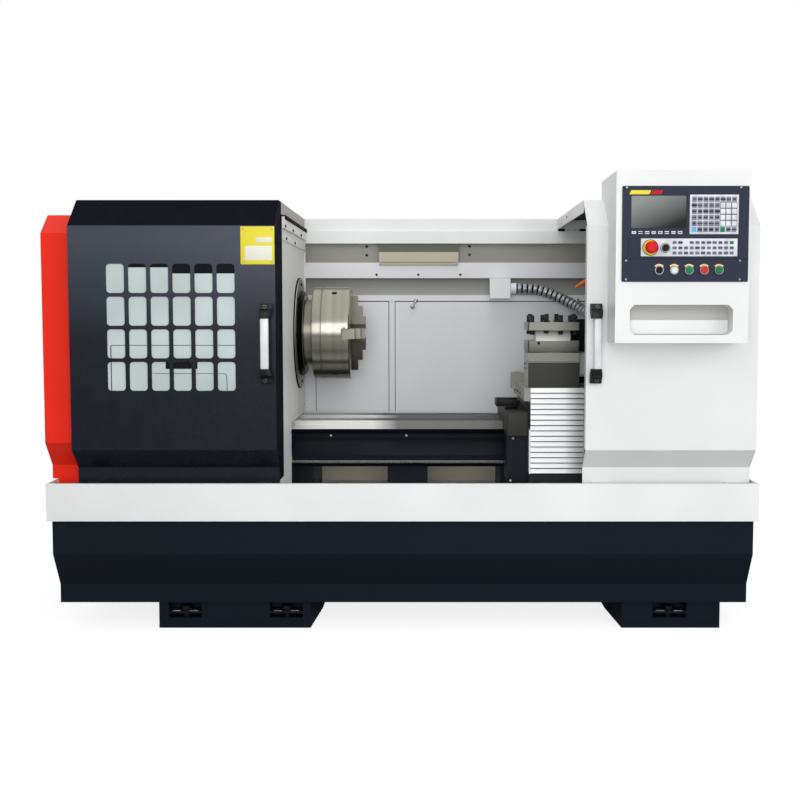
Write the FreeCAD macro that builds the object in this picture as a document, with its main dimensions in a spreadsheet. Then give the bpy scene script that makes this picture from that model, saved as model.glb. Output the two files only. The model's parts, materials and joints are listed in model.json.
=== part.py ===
import FreeCAD, Part
import math
import os
from types import SimpleNamespace

import Sketcher

# A flat-bed CNC turning lathe with two sliding hoods, in millimetres.
# +Z is up, the operator stands on the -Y side, and the spindle axis runs along X.
# The origin is on the floor, under the middle of the machine.

os.makedirs("parts", exist_ok=True)
doc = FreeCAD.newDocument("lathe")
Vector = FreeCAD.Vector

# ---------------------------------------------------------------------------
# Driving dimensions
# ---------------------------------------------------------------------------

DIMENSIONS = [
    # chip tray and base
    ("tray_left", -1207),
    ("tray_right", 1224),
    ("tray_front", -500),
    ("tray_back", 515),
    ("tray_low", 402),
    ("tray_floor", 408),
    ("tray_top", 531),
    ("tray_wall", 5),
    ("base_left", -1194),
    ("base_right", 1213),
    ("base_front", -478),
    ("base_back", 500),
    ("base_low", 98),
    ("base_tuck", 76),
    # sliding hoods
    ("hood_front", -490),
    ("hood_roof", 1500),
    ("hood_fold", 1405),
    ("hood_low_fold", 645),
    ("hood_low", 577),
    ("hood_foot", 520),
    ("hood_slope", 115),
    ("hood_tuck", 75),
    ("hood_back", 463),
    ("left_hood_left", -1118),
    ("left_hood_right", -419),
    ("right_hood_left", 632),
    ("right_hood_right", 1213),
    ("sheet_metal", 3),
    # fixed housings
    ("red_left", -1224),
    ("guard_left", -1113),
    ("guard_front", -305),
    ("guard_back", 450),
    ("guard_top", 1450),
    ("guard_wall", 4),
    ("wall_face", -418),
    ("tail_guard_left", 880),
    # bed
    ("bed_left", -1100),
    ("bed_right", 1180),
    ("bed_front", 65),
    ("bed_back", 405),
    ("way_top", 697),
    # spindle line
    ("axis_y", 235),
    ("axis_z", 1031),
    ("bore_radius", 40),
    ("nose_radius", 133),
    ("chuck_radius", 182),
    ("chuck_back", -319),
    ("chuck_face", -209),
    # carriage and turret
    ("saddle_left", 383),
    ("saddle_right", 740),
    ("saddle_front", -190),
    ("saddle_top", 793),
    ("slide_top", 840),
    ("turret_x", 553),
    ("turret_y", -96),
    ("turret_width", 187),
    ("head_bottom", 970.5),
    ("screw_y", -20),
    ("screw_z", 556),
    ("screw_radius", 16),
    # control box
    ("box_left", 702),
    ("box_right", 1134),
    ("box_front", -659),
    ("box_low", 1014),
    ("box_top", 1568),
]


class Size:
    """A number that remembers the sheet expression it comes from."""

    def __init__(self, value, text):
        self.value = float(value)
        self.text = text

    def _join(self, other, sign, flip=False):
        value, text = (other.value, other.text) if isinstance(other, Size) else (other, "%g" % other)
        first, second = (value, self.value) if flip else (self.value, value)
        left, right = (text, self.text) if flip else (self.text, text)
        result = {"+": first + second, "-": first - second, "*": first * second}[sign]
        return Size(result, "(%s %s (%s))" % (left, sign, right))

    def __add__(self, other):
        return self._join(other, "+")

    def __radd__(self, other):
        return self._join(other, "+", True)

    def __sub__(self, other):
        return self._join(other, "-")

    def __rsub__(self, other):
        return self._join(other, "-", True)

    def __mul__(self, other):
        return self._join(other, "*")

    __rmul__ = __mul__

    def __float__(self):
        return self.value


def make_sheet():
    """Write the driving dimensions into the sheet, and hand them back as Size values."""
    sheet = doc.addObject("Spreadsheet::Sheet", "Sizes")
    found = {}
    for row, (alias, value) in enumerate(DIMENSIONS, start=1):
        cell = "A%d" % row
        sheet.set(cell, str(value))
        sheet.setAlias(cell, alias)
        found[alias] = Size(value, "Sizes.%s" % alias)
    doc.recompute()
    return SimpleNamespace(**found)


dim = make_sheet()
nodes = []

# ---------------------------------------------------------------------------
# Small building tools
# ---------------------------------------------------------------------------


def bind(thing, name, value):
    """Bind one property to the sheet, or set it when the value is a plain number."""
    if isinstance(value, Size):
        thing.setExpression(name, value.text)
    elif "." in name:
        thing.setExpression(name, "%g" % value)
    else:
        setattr(thing, name, float(value))


def place(thing, x, y, z):
    for axis, value in zip("xyz", (x, y, z)):
        bind(thing, "Placement.Base.%s" % axis, value)


def node(thing, label):
    """Give a finished sub-part its own name and put it on the list of files."""
    thing.Label = label
    nodes.append(thing)
    return thing


def box(name, x, y, z):
    """A block between two values on each axis."""
    solid = doc.addObject("Part::Box", name)
    for prop, (low, high) in zip(("Length", "Width", "Height"), (x, y, z)):
        bind(solid, prop, high - low)
    place(solid, x[0], y[0], z[0])
    return solid


TURN = {
    "x": FreeCAD.Rotation(Vector(0, 1, 0), 90),
    "y": FreeCAD.Rotation(Vector(1, 0, 0), -90),
    "z": FreeCAD.Rotation(),
}


def cylinder(name, axis, start, radius, length):
    """A round bar from its start point along x, y or z."""
    solid = doc.addObject("Part::Cylinder", name)
    solid.Placement = FreeCAD.Placement(Vector(0, 0, 0), TURN[axis])
    bind(solid, "Radius", radius)
    bind(solid, "Height", length)
    place(solid, *start)
    return solid


def fuse(name, parts):
    solid = doc.addObject("Part::MultiFuse", name)
    solid.Shapes = parts
    return solid


def cut(name, base, tools):
    tool = tools[0] if len(tools) == 1 else fuse(name + "_tools", tools)
    solid = doc.addObject("Part::Cut", name)
    solid.Base = base
    solid.Tool = tool
    return solid


def group(name, parts):
    """Separate solids of one kind, kept together as one sub-part."""
    solid = doc.addObject("Part::Compound", name)
    solid.Links = parts
    return solid


def round_off(name, base, radius, wanted):
    """Round the edges of a primitive or boolean that the test picks."""
    doc.recompute()
    solid = doc.addObject("Part::Fillet", name)
    solid.Base = base
    picked = [i for i, edge in enumerate(base.Shape.Edges, start=1) if wanted(edge)]
    solid.Edges = [(i, float(radius), float(radius)) for i in picked]
    return solid


def runs_along(axis):
    """A test for straight edges that run along one axis."""
    index = "xyz".index(axis)

    def test(edge):
        if edge.Curve.TypeId != "Part::GeomLine":
            return False
        return abs(abs(edge.Curve.Direction[index]) - 1) < 1e-6

    return test


def body(name):
    return doc.addObject("PartDesign::Body", name)


def sketch(owner, name, plane, at=0):
    """An empty sketch on one of the body's origin planes, moved along the plane's normal."""
    drawing = owner.newObject("Sketcher::SketchObject", name)
    planes = [f for f in owner.Origin.OriginFeatures if f.Role == plane + "_Plane"]
    drawing.AttachmentSupport = (planes[0], [""])
    drawing.MapMode = "FlatFace"
    bind(drawing, "AttachmentOffset.Base.z", at)
    return drawing


def outline(drawing, points):
    """Draw a closed outline whose every corner is held by the sheet or by a plain number."""
    first = drawing.GeometryCount
    count = len(points)
    flat = [Vector(float(a), float(b), 0) for a, b in points]
    for i in range(count):
        drawing.addGeometry(Part.LineSegment(flat[i], flat[(i + 1) % count]), False)
    rules = []
    for i in range(count):
        rules.append(Sketcher.Constraint("Coincident", first + i, 2, first + (i + 1) % count, 1))
    bound = []
    for i, point in enumerate(points):
        for kind, value in zip(("DistanceX", "DistanceY"), point):
            bound.append((drawing.ConstraintCount + len(rules), value))
            rules.append(Sketcher.Constraint(kind, -1, 1, first + i, 1, float(value)))
    drawing.addConstraint(rules)
    for index, value in bound:
        if isinstance(value, Size):
            drawing.setExpression("Constraints[%d]" % index, value.text)


def rounded_rectangle(drawing, left, right, low, high, radius):
    left, right, low, high = (float(value) for value in (left, right, low, high))
    corners = [
        (right - radius, low + radius, -90),
        (right - radius, high - radius, 0),
        (left + radius, high - radius, 90),
        (left + radius, low + radius, 180),
    ]
    ends = []
    for x, y, start in corners:
        circle = Part.Circle(Vector(x, y, 0), Vector(0, 0, 1), radius)
        arc = Part.ArcOfCircle(circle, math.radians(start), math.radians(start + 90))
        drawing.addGeometry(arc, False)
        ends.append((arc.StartPoint, arc.EndPoint))
    for i in range(4):
        drawing.addGeometry(Part.LineSegment(ends[i][1], ends[(i + 1) % 4][0]), False)


def circle(drawing, x, y, radius):
    drawing.addGeometry(Part.Circle(Vector(float(x), float(y), 0), Vector(0, 0, 1), float(radius)), False)


def pad(owner, name, drawing, length):
    feature = owner.newObject("PartDesign::Pad", name)
    feature.Profile = drawing
    bind(feature, "Length", length)
    return feature


def pocket(owner, name, drawing, depth):
    """Cut a sketch into the body, against the normal of the sketch's plane."""
    doc.recompute()
    before = owner.Shape.Volume
    feature = owner.newObject("PartDesign::Pocket", name)
    feature.Profile = drawing
    bind(feature, "Length", depth)
    doc.recompute()
    if owner.Shape.Volume > before - 1:
        raise RuntimeError("%s cuts nothing" % name)
    return feature


def extrusion(label, plane, at, length, points):
    """A body padded from one outline; for XZ the pad runs from `at` towards -Y."""
    owner = body(label)
    drawing = sketch(owner, label + "_profile", plane, -at if plane == "XZ" else at)
    outline(drawing, points)
    pad(owner, label + "_pad", drawing, length)
    doc.recompute()
    return owner


def folded(points, thickness):
    """The closed section of a folded sheet, whose outer line is given and whose metal lies to its left."""
    flat = [Vector(float(a), float(b), 0) for a, b in points]
    shifted = []
    for i, point in enumerate(flat):
        before = (point - flat[i - 1]).normalize() if i else None
        after = (flat[i + 1] - point).normalize() if i + 1 < len(flat) else None
        before = before or after
        after = after or before
        left_before = Vector(-before.y, before.x, 0)
        left_after = Vector(-after.y, after.x, 0)
        middle = (left_before + left_after).normalize()
        shifted.append(point + middle * (float(thickness) / middle.dot(left_before)))
    return list(points) + [(p.x, p.y) for p in reversed(shifted)]


def revolution(label, plane_points, axis_y, axis_z):
    """A body turned about the line through (axis_y, axis_z) along X, from (x, radius) points."""
    owner = body(label)
    drawing = sketch(owner, label + "_profile", "XZ")
    outline(drawing, plane_points)
    feature = owner.newObject("PartDesign::Revolution", label + "_turn")
    feature.Profile = drawing
    feature.ReferenceAxis = (drawing, ["H_Axis"])
    feature.Angle = 360
    place(owner, 0, axis_y, axis_z)
    doc.recompute()
    return owner


# ---------------------------------------------------------------------------
# Base, tray and pedestals
# ---------------------------------------------------------------------------

PEDESTAL_FRONT = -377
PEDESTAL_TAPER = 18.5
POCKET_LOW = 36
POCKET_DEPTH = 60
BAR_TOP = 60
BAR_THICKNESS = 8


def pedestal(label, left, right, pockets):
    """One welded foot: it widens towards the back, and has pockets at the front and the rear."""
    corners = [
        (left, PEDESTAL_FRONT),
        (right, PEDESTAL_FRONT),
        (right + PEDESTAL_TAPER, PEDESTAL_FRONT + 290),
        (right + PEDESTAL_TAPER, 380),
        (right, 455),
        (left, 455),
        (left - PEDESTAL_TAPER, 380),
        (left - PEDESTAL_TAPER, PEDESTAL_FRONT + 290),
    ]
    block = extrusion(label + "_block", "XY", 0, dim.base_low, corners)
    holes = []
    depths = ((PEDESTAL_FRONT - 1, PEDESTAL_FRONT + POCKET_DEPTH), (395, 456))
    for i, (low, high) in enumerate(pockets):
        for side, (front, back) in enumerate(depths):
            tag = "%s_%d_%d" % (label, i, side)
            holes.append(box(tag + "_low", (low, high), (front, back), (POCKET_LOW, BAR_TOP - BAR_THICKNESS)))
            holes.append(box(tag + "_high", (low, high), (front, back), (BAR_TOP, dim.base_low + 1)))
            middle = 0.5 * (low + high)
            hole_y = 0.5 * (max(front, PEDESTAL_FRONT) + min(back, 455))
            holes.append(cylinder(tag + "_bolt_hole", "z", (middle, hole_y, POCKET_LOW + 1), 13, 40))
    return node(cut(label + "_cut", block, holes), label)


LEFT_POCKETS = [(-821, -705), (-464, -347)]
RIGHT_POCKETS = [(889, 1009)]


def levelling_bolts():
    """Hexagon bolts that stand in the pockets, through the bars."""
    bolts = []
    for i, (low, high) in enumerate(LEFT_POCKETS + RIGHT_POCKETS):
        for side, y in enumerate((PEDESTAL_FRONT + POCKET_DEPTH / 2, 425)):
            tag = "levelling_bolt_%d_%d" % (i, side)
            middle = 0.5 * (low + high)
            shank = cylinder(tag + "_shank", "z", (middle, y, POCKET_LOW), 12, BAR_TOP + 8 - POCKET_LOW)
            head = doc.addObject("Part::Prism", tag + "_head")
            head.Polygon = 6
            bind(head, "Circumradius", 21)
            bind(head, "Height", 15)
            place(head, middle, y, BAR_TOP)
            bolts.append(fuse(tag, [shank, head]))
    return node(group("levelling_bolt_group", bolts), "levelling_bolts")


def base_cabinet():
    """The closed cabinet under the tray: its front is folded so that the middle band slopes back."""
    fold_z = 284
    slope_z = 164
    low_front = dim.base_front + dim.base_tuck
    profile = [
        (dim.base_front, dim.tray_low),
        (dim.base_front, fold_z),
        (low_front, slope_z),
        (low_front, dim.base_low),
        (dim.base_back, dim.base_low),
        (dim.base_back, dim.tray_low),
    ]
    solid = extrusion("base_cabinet_body", "YZ", dim.base_left, dim.base_right - dim.base_left, profile)
    return node(solid, "base_cabinet")


RAIL_FRONT = -419
RAIL_BACK = -413
RAIL_TOP = 506


def chip_tray():
    """The long pan with its deep lip, and the rail inside the lip that the hoods run on."""
    wall = dim.tray_wall
    outer = box(
        "tray_outer",
        (dim.tray_left, dim.tray_right),
        (dim.tray_front, dim.tray_back),
        (dim.tray_low, dim.tray_top),
    )
    hollow = box(
        "tray_hollow",
        (dim.tray_left + wall, dim.tray_right - wall),
        (dim.tray_front + wall, dim.tray_back - wall),
        (dim.tray_floor, dim.tray_top + 1),
    )
    pan = cut("tray_pan", outer, [hollow])
    rail_ends = (dim.tray_left + wall, dim.tray_right - wall)
    web = box("door_rail_web", rail_ends, (RAIL_FRONT, RAIL_BACK), (dim.tray_floor, RAIL_TOP))
    foot = box("door_rail_foot", rail_ends, (RAIL_BACK, RAIL_BACK + 30), (dim.tray_floor, dim.tray_floor + 6))
    lip = box(
        "tray_lip",
        rail_ends,
        (dim.tray_front + wall, dim.tray_front + 18),
        (dim.tray_top - 4, dim.tray_top),
    )
    return node(fuse("tray_with_rail", [pan, web, foot, lip]), "chip_tray")


# ---------------------------------------------------------------------------
# Bed, lead screw and its guard
# ---------------------------------------------------------------------------

GIRDER_LOW = 518
BED_WINDOWS = [(-346, -62), (93, 374), (530, 820), (-930, -560)]


def bed_casting():
    """A girder with two ground ways and an open middle, on box legs with windows between them."""
    front = dim.bed_front
    back = dim.bed_back
    top = dim.way_top
    way_low = top - 34
    waist = top - 52
    foot = dim.tray_floor
    profile = [
        (front, top),
        (front, way_low),
        (front + 20, waist),
        (front + 20, GIRDER_LOW + 14),
        (front + 6, GIRDER_LOW),
        (front + 6, foot),
        (back - 6, foot),
        (back - 6, GIRDER_LOW),
        (back - 20, GIRDER_LOW + 14),
        (back - 20, waist),
        (back, way_low),
        (back, top),
        (back - 100, top),
        (back - 100, waist),
        (back - 130, GIRDER_LOW + 30),
        (front + 130, GIRDER_LOW + 30),
        (front + 100, waist),
        (front + 100, top),
    ]
    solid = extrusion("bed_body", "YZ", dim.bed_left, dim.bed_right - dim.bed_left, profile)
    windows = []
    for i, (low, high) in enumerate(BED_WINDOWS):
        window = box("bed_window_%d" % i, (low, high), (front - 1, back + 1), (foot - 1, GIRDER_LOW))
        windows.append(window)
    return node(cut("bed_cut", solid, windows), "bed_casting")


COVER_TRIM_TOP = 644
COVER_TRIM_LOW = 630
COVER_LIP_TOP = 576
COVER_LIP_LOW = 556
COVER_TRIM_Y = 59
COVER_LIP_Y = -50
COVER_RIGHT = 1100


def screw_cover():
    """The folded guard over the lead screw: top flange, trim strip, slope and lip, on four gussets."""
    line = [
        (dim.bed_front + 20, COVER_TRIM_TOP),
        (COVER_TRIM_Y, COVER_TRIM_TOP),
        (COVER_TRIM_Y, COVER_TRIM_LOW),
        (COVER_LIP_Y, COVER_LIP_TOP),
        (COVER_LIP_Y, COVER_LIP_LOW),
    ]
    start = dim.wall_face
    sheet = extrusion("screw_cover_sheet", "YZ", start, COVER_RIGHT - start, folded(line, dim.sheet_metal))
    gussets = []
    slope = (COVER_TRIM_LOW - COVER_LIP_TOP) / (COVER_TRIM_Y - COVER_LIP_Y)
    back = dim.bed_front + 20
    for i, x in enumerate((-380, 20, 430, 850)):
        outline_points = [
            (back, COVER_TRIM_TOP - 2),
            (COVER_TRIM_Y + 1, COVER_TRIM_TOP - 2),
            (COVER_TRIM_Y + 1, COVER_TRIM_LOW - 2),
            (8, COVER_TRIM_LOW - 2 - slope * (COVER_TRIM_Y - 8)),
            (back, COVER_TRIM_LOW - 60),
        ]
        gussets.append(extrusion("screw_cover_gusset_%d" % i, "YZ", x, 6, outline_points))
    return node(fuse("screw_cover_fuse", [sheet] + gussets), "screw_cover")


def lead_screw():
    """The ball screw: a plain bar with turned-down ends in its bearings."""
    journal = dim.screw_radius - 5
    points = [
        (-480, 0),
        (-480, journal),
        (-425, journal),
        (-425, dim.screw_radius),
        (1085, dim.screw_radius),
        (1085, journal),
        (1150, journal),
        (1150, 0),
    ]
    return node(revolution("lead_screw_body", points, dim.screw_y, dim.screw_z), "lead_screw")


def screw_bearings():
    """Both bearing blocks on the bed's front wall, with the servo motor behind the right one."""
    blocks = []
    wall = dim.bed_front + 20
    for i, (low, high) in enumerate(((-470, -430), (1105, 1145))):
        block = box("screw_block_%d" % i, (low, high), (-62, wall), (GIRDER_LOW + 16, 598))
        blocks.append(block)
    holes = [
        cylinder("screw_block_bores", "x", (-500, dim.screw_y, dim.screw_z), dim.screw_radius - 4.9, 1650.5),
    ]
    flange = box("servo_flange", (1145, 1153), (-75, 35), (501, 611))
    servo = box("servo_block", (1153, 1204), (-68, 28), (508, 604))
    motor = round_off("servo_body", servo, 8, runs_along("x"))
    solid = cut("screw_bearing_cut", fuse("screw_bearing_fuse", blocks + [flange, motor]), holes)
    return node(solid, "screw_bearings")


# ---------------------------------------------------------------------------
# Headstock, spindle drive and fixed housings
# ---------------------------------------------------------------------------

PULLEY_LEFT = -1196
PULLEY_WIDTH = 62
PULLEY_RADIUS = 110
MOTOR_PULLEY_RADIUS = 60
MOTOR_Y = -140
MOTOR_Z = 640


def headstock_casting():
    """The spindle carrier: a rounded casting with a bearing boss at each end."""
    shell = box("headstock_block", (-1060, -452), (60, 410), (dim.way_top, 1235))
    rounded = round_off("headstock_rounded", shell, 45, is_upper_long_edge)
    front_boss = cylinder("headstock_front_boss", "x", (-452, dim.axis_y, dim.axis_z), 165, 31)
    rear_boss = cylinder("headstock_rear_boss", "x", (-1082, dim.axis_y, dim.axis_z), 105, 22)
    bore = cylinder("headstock_bore", "x", (-1083, dim.axis_y, dim.axis_z), 62.05, 680)
    solid = cut("headstock_cut", fuse("headstock_fuse", [rounded, front_boss, rear_boss]), [bore])
    return node(solid, "headstock_casting")


def is_upper_long_edge(edge):
    return runs_along("x")(edge) and edge.CenterOfMass.z > 1200


def spindle():
    """Hollow spindle with its nose flange, and the belt pulley keyed on its tail."""
    bore = dim.bore_radius
    nose_back = -388
    nose_face = -355
    right = PULLEY_LEFT + PULLEY_WIDTH
    points = [
        (PULLEY_LEFT, bore),
        (PULLEY_LEFT, PULLEY_RADIUS),
        (right, PULLEY_RADIUS),
        (right, 62),
        (-418, 62),
        (nose_back - 18, 100),
        (nose_back, 100),
        (nose_back, dim.nose_radius),
        (nose_face, dim.nose_radius),
        (nose_face, bore),
    ]
    return node(revolution("spindle_body", points, dim.axis_y, dim.axis_z), "spindle")


def spindle_motor():
    """Foot-mounted motor with cooling ribs, its shaft and its pulley."""
    left = -1060
    length = 330
    middle = Vector(left + 30, MOTOR_Y, MOTOR_Z)
    frame = cylinder("motor_frame", "x", (left, MOTOR_Y, MOTOR_Z), 105, length)
    ribs = []
    for i in range(12):
        rib = box("motor_rib_%d" % i, (left + 30, left + length - 30), (-3, 3), (100, 116))
        turn = FreeCAD.Rotation(Vector(1, 0, 0), 30 * i)
        rib.Placement = FreeCAD.Placement(middle + turn.multVec(Vector(0, -3, 100)), turn)
        for axis in "xyz":
            rib.setExpression("Placement.Base.%s" % axis, None)
        ribs.append(rib)
    feet = box(
        "motor_feet",
        (left + 40, left + length - 40),
        (MOTOR_Y - 95, MOTOR_Y + 95),
        (dim.tray_floor, 550),
    )
    shaft = cylinder("motor_shaft", "x", (PULLEY_LEFT, MOTOR_Y, MOTOR_Z), 21, left - PULLEY_LEFT + 5)
    wheel_at = (PULLEY_LEFT + 5, MOTOR_Y, MOTOR_Z)
    wheel = cylinder("motor_pulley", "x", wheel_at, MOTOR_PULLEY_RADIUS, PULLEY_WIDTH - 10)
    return node(fuse("spindle_motor_fuse", [frame] + ribs + [feet, shaft, wheel]), "spindle_motor")


def belt_loop(name, gap, left, width):
    """The space inside a belt line: two round ends and the hull between them."""
    big = PULLEY_RADIUS + gap
    small = MOTOR_PULLEY_RADIUS + gap
    start = Vector(0, float(dim.axis_y), float(dim.axis_z))
    end = Vector(0, MOTOR_Y, MOTOR_Z)
    line = end - start
    angle = math.acos((big - small) / line.Length)
    heading = math.atan2(line.z, line.y)
    corners = []
    for side, radius, centre in ((1, big, start), (1, small, end), (-1, small, end), (-1, big, start)):
        way = heading + side * angle
        corners.append((centre.y + radius * math.cos(way), centre.z + radius * math.sin(way)))
    hull = extrusion(name + "_hull", "YZ", left, width, corners)
    big_end = cylinder(name + "_big", "x", (left, start.y, start.z), big, width)
    small_end = cylinder(name + "_small", "x", (left, end.y, end.z), small, width)
    return fuse(name, [hull, big_end, small_end])


def drive_belt():
    """Flat toothed belt round both pulleys."""
    left = PULLEY_LEFT + 7
    outer = belt_loop("belt_outer", 8.3, left, PULLEY_WIDTH - 14)
    inner = belt_loop("belt_inner", 0.3, left - 1, PULLEY_WIDTH - 12)
    return node(cut("belt_cut", outer, [inner]), "drive_belt")


def headstock_guard():
    """The white fixed housing round the headstock; its right wall faces the work space."""
    wall = dim.guard_wall
    outer = box(
        "guard_outer",
        (dim.guard_left, dim.wall_face),
        (dim.guard_front, dim.guard_back),
        (dim.tray_floor, dim.guard_top),
    )
    hollow = box(
        "guard_hollow",
        (dim.guard_left - 1, dim.wall_face - wall),
        (dim.guard_front + wall, dim.guard_back - wall),
        (dim.tray_floor - 1, dim.guard_top - wall),
    )
    spindle_hole = cylinder("guard_spindle_hole", "x", (dim.wall_face - 10, dim.axis_y, dim.axis_z), 172, 20)
    bed_hole = box(
        "guard_bed_hole",
        (dim.wall_face - 10, dim.wall_face + 10),
        (-66, dim.bed_back + 3),
        (dim.tray_floor - 1, dim.way_top + 3),
    )
    shell = cut("guard_shell", outer, [hollow, spindle_hole, bed_hole])
    rail = box(
        "guard_top_rail",
        (dim.wall_face, dim.wall_face + 10),
        (dim.guard_front, dim.guard_back),
        (dim.guard_top - 41, dim.guard_top),
    )
    ledge = box(
        "guard_lower_rail",
        (dim.wall_face, dim.wall_face + 4),
        (dim.guard_front, dim.guard_back),
        (dim.guard_top - 82, dim.guard_top - 66),
    )
    return node(fuse("guard_fuse", [shell, rail, ledge]), "headstock_guard")


def wall_flange():
    """The grey ring plate on the side wall, round the spindle's opening."""
    face = dim.wall_face + 8
    points = [
        (dim.wall_face, 168.5),
        (dim.wall_face, 215),
        (face - 2, 215),
        (face, 213),
        (face, 168.5),
    ]
    return node(revolution("wall_flange_body", points, dim.axis_y, dim.axis_z), "wall_flange")


def spindle_seal():
    """The black labyrinth ring between the wall flange and the spindle nose."""
    face = dim.wall_face + 27
    points = [
        (dim.wall_face - 3, 104),
        (dim.wall_face - 3, 168),
        (face - 8, 168),
        (face, 160),
        (face, 146),
        (face - 6, 140),
        (face - 6, 104),
    ]
    return node(revolution("spindle_seal_body", points, dim.axis_y, dim.axis_z), "spindle_seal")


def left_end_cover():
    """The red cover over the belt drive, folded like the hoods and open towards the headstock."""
    front = dim.hood_front + 50
    wall = 3
    profile = [
        (front, 1383),
        (front, 665),
        (front + 75, 580),
        (front + 75, dim.tray_floor),
        (dim.guard_back, dim.tray_floor),
        (dim.guard_back, dim.guard_top),
        (front + 85, dim.guard_top),
    ]
    inner = [
        (front + wall, 1381.5),
        (front + wall, 666.2),
        (front + 75 + wall, 581.2),
        (front + 75 + wall, dim.tray_floor + wall),
        (dim.guard_back - wall, dim.tray_floor + wall),
        (dim.guard_back - wall, dim.guard_top - wall),
        (front + 86, dim.guard_top - wall),
    ]
    left = dim.red_left
    # the cover stands over the tray's left end, so its lowest part starts inside the tray
    owner = extrusion("left_end_cover_body", "YZ", left, dim.guard_left - left, profile)
    hollow = sketch(owner, "left_end_cover_hollow", "YZ", dim.guard_left)
    outline(hollow, inner)
    pocket(owner, "left_end_cover_pocket", hollow, dim.guard_left - left - wall)
    notch = box("left_end_cover_notch", (left - 1, dim.tray_left + 5), (-600, 600), (400, dim.tray_top))
    return node(cut("left_end_cover_cut", owner, [notch]), "left_end_cover")


def tailstock_guard():
    """The white fixed housing over the right end of the bed, open towards the carriage."""
    wall = dim.guard_wall
    outer = box(
        "tail_guard_outer",
        (dim.tail_guard_left, dim.right_hood_right),
        (dim.guard_front, dim.guard_back),
        (dim.tray_floor, dim.guard_top),
    )
    hollow = box(
        "tail_guard_hollow",
        (dim.tail_guard_left - 1, dim.right_hood_right - wall),
        (dim.guard_front + wall, dim.guard_back - wall),
        (dim.tray_floor - 1, dim.guard_top - wall),
    )
    return node(cut("tail_guard_cut", outer, [hollow]), "tailstock_guard")


# ---------------------------------------------------------------------------
# Rear wall, lamp and cabinet
# ---------------------------------------------------------------------------

BEAM_LEDGE = 1448
BEAM_LOW = 1398
BEAM_DEPTH = 50
PANEL_TOP = 1185
PANEL_STEP = 35
DUCT_LOW = 1256
DUCT_TOP = 1320
DUCT_DEPTH = 30


def rear_beam():
    """The beam behind the work space; the shoes of both hoods slide on its ledge."""
    front = dim.guard_back
    profile = [
        (front, BEAM_LOW),
        (front + BEAM_DEPTH, BEAM_LOW),
        (front + BEAM_DEPTH, dim.hood_roof),
        (front + 15, dim.hood_roof),
        (front + 15, BEAM_LEDGE),
        (front, BEAM_LEDGE),
    ]
    start = dim.guard_left
    solid = extrusion("rear_beam_body", "YZ", start, dim.right_hood_right - start, profile)
    return node(solid, "rear_beam")


def rear_panels():
    """The folded rear wall with its seam strip, and the open-slotted cable duct fixed on it."""
    back = dim.guard_back + BEAM_DEPTH
    front = back - PANEL_STEP
    line = [
        (back, BEAM_LOW),
        (back, PANEL_TOP),
        (front, PANEL_TOP),
        (front, PANEL_TOP - 24),
        (front + 4, PANEL_TOP - 24),
        (front + 4, PANEL_TOP - 28),
        (front, PANEL_TOP - 28),
        (front, dim.tray_floor),
    ]
    start = dim.wall_face
    length = dim.right_hood_right - start
    sheet = extrusion("rear_sheet", "YZ", start, length, folded(line, dim.sheet_metal))
    strip = box("rear_seam_strip", (-64, -48), (front - 2, front), (dim.tray_floor, PANEL_TOP - 28))
    duct = box("duct_outer", (start, start + length), (back - DUCT_DEPTH, back), (DUCT_LOW, DUCT_TOP))
    room = box(
        "duct_room",
        (start - 1, start + length + 1),
        (back - DUCT_DEPTH + 3, back - 3),
        (DUCT_LOW + 3, DUCT_TOP - 3),
    )
    slot = box(
        "duct_slot",
        (start - 1, start + length + 1),
        (back - 19, back - 11),
        (DUCT_LOW - 1, DUCT_LOW + 4),
    )
    trunk = cut("duct_cut", duct, [room, slot])
    return node(fuse("rear_panels_fuse", [sheet, strip, trunk]), "rear_panels")


def work_lamp():
    """The wide lamp under the beam, with rounded lower corners."""
    back = dim.guard_back + BEAM_DEPTH
    block = box("lamp_block", (-110, 221), (back - 38, back), (DUCT_TOP, BEAM_LOW))
    rounded = round_off("lamp_rounded", block, 14, is_low_lamp_corner)
    return node(rounded, "work_lamp")


def is_low_lamp_corner(edge):
    return runs_along("y")(edge) and edge.CenterOfMass.z < DUCT_TOP + 5


def rear_cabinet():
    """The electrical cabinet on the back of the headstock guard, with two plain door leaves."""
    left = -1060
    right = -440
    low = 570
    high = 1385
    back = 690
    case = box("cabinet_case", (left, right), (dim.guard_back, back), (low, high))
    leaves = []
    middle = 0.5 * (left + right)
    for i, (start, end) in enumerate(((left + 12, middle - 2), (middle + 2, right - 12))):
        leaves.append(box("cabinet_leaf_%d" % i, (start, end), (back, back + 4), (low + 12, high - 12)))
    return node(fuse("cabinet_fuse", [case] + leaves), "rear_cabinet")


# ---------------------------------------------------------------------------
# Sliding hoods
# ---------------------------------------------------------------------------

WINDOW_LEFT = -990
WINDOW_TOP = 1277
WINDOW_WIDTH = 60.5
WINDOW_HEIGHT = 98
WINDOW_ACROSS = 74.6
WINDOW_DOWN = 110.3
WINDOW_COLUMNS = 6
WINDOW_ROWS = 4
STILE_DEPTH = 170


def hood_line():
    """The outer line of a hood, from the end of the roof slope down to its foot."""
    front = dim.hood_front
    return [
        (front + dim.hood_slope, dim.hood_roof),
        (front, dim.hood_fold),
        (front, dim.hood_low_fold),
        (front + dim.hood_tuck, dim.hood_low),
        (front + dim.hood_tuck, dim.hood_foot),
    ]


def stile_outline(depth):
    """The side plate of a hood: it follows the hood's line and is straight at the back."""
    front = dim.hood_front
    return [
        (front + dim.hood_slope, dim.hood_roof),
        (front, dim.hood_fold),
        (front, dim.hood_low_fold),
        (front + dim.hood_tuck, dim.hood_low),
        (front + dim.hood_tuck, dim.hood_foot + 12),
        (front + depth, dim.hood_foot + 12),
        (front + depth, dim.hood_roof),
    ]


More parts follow.
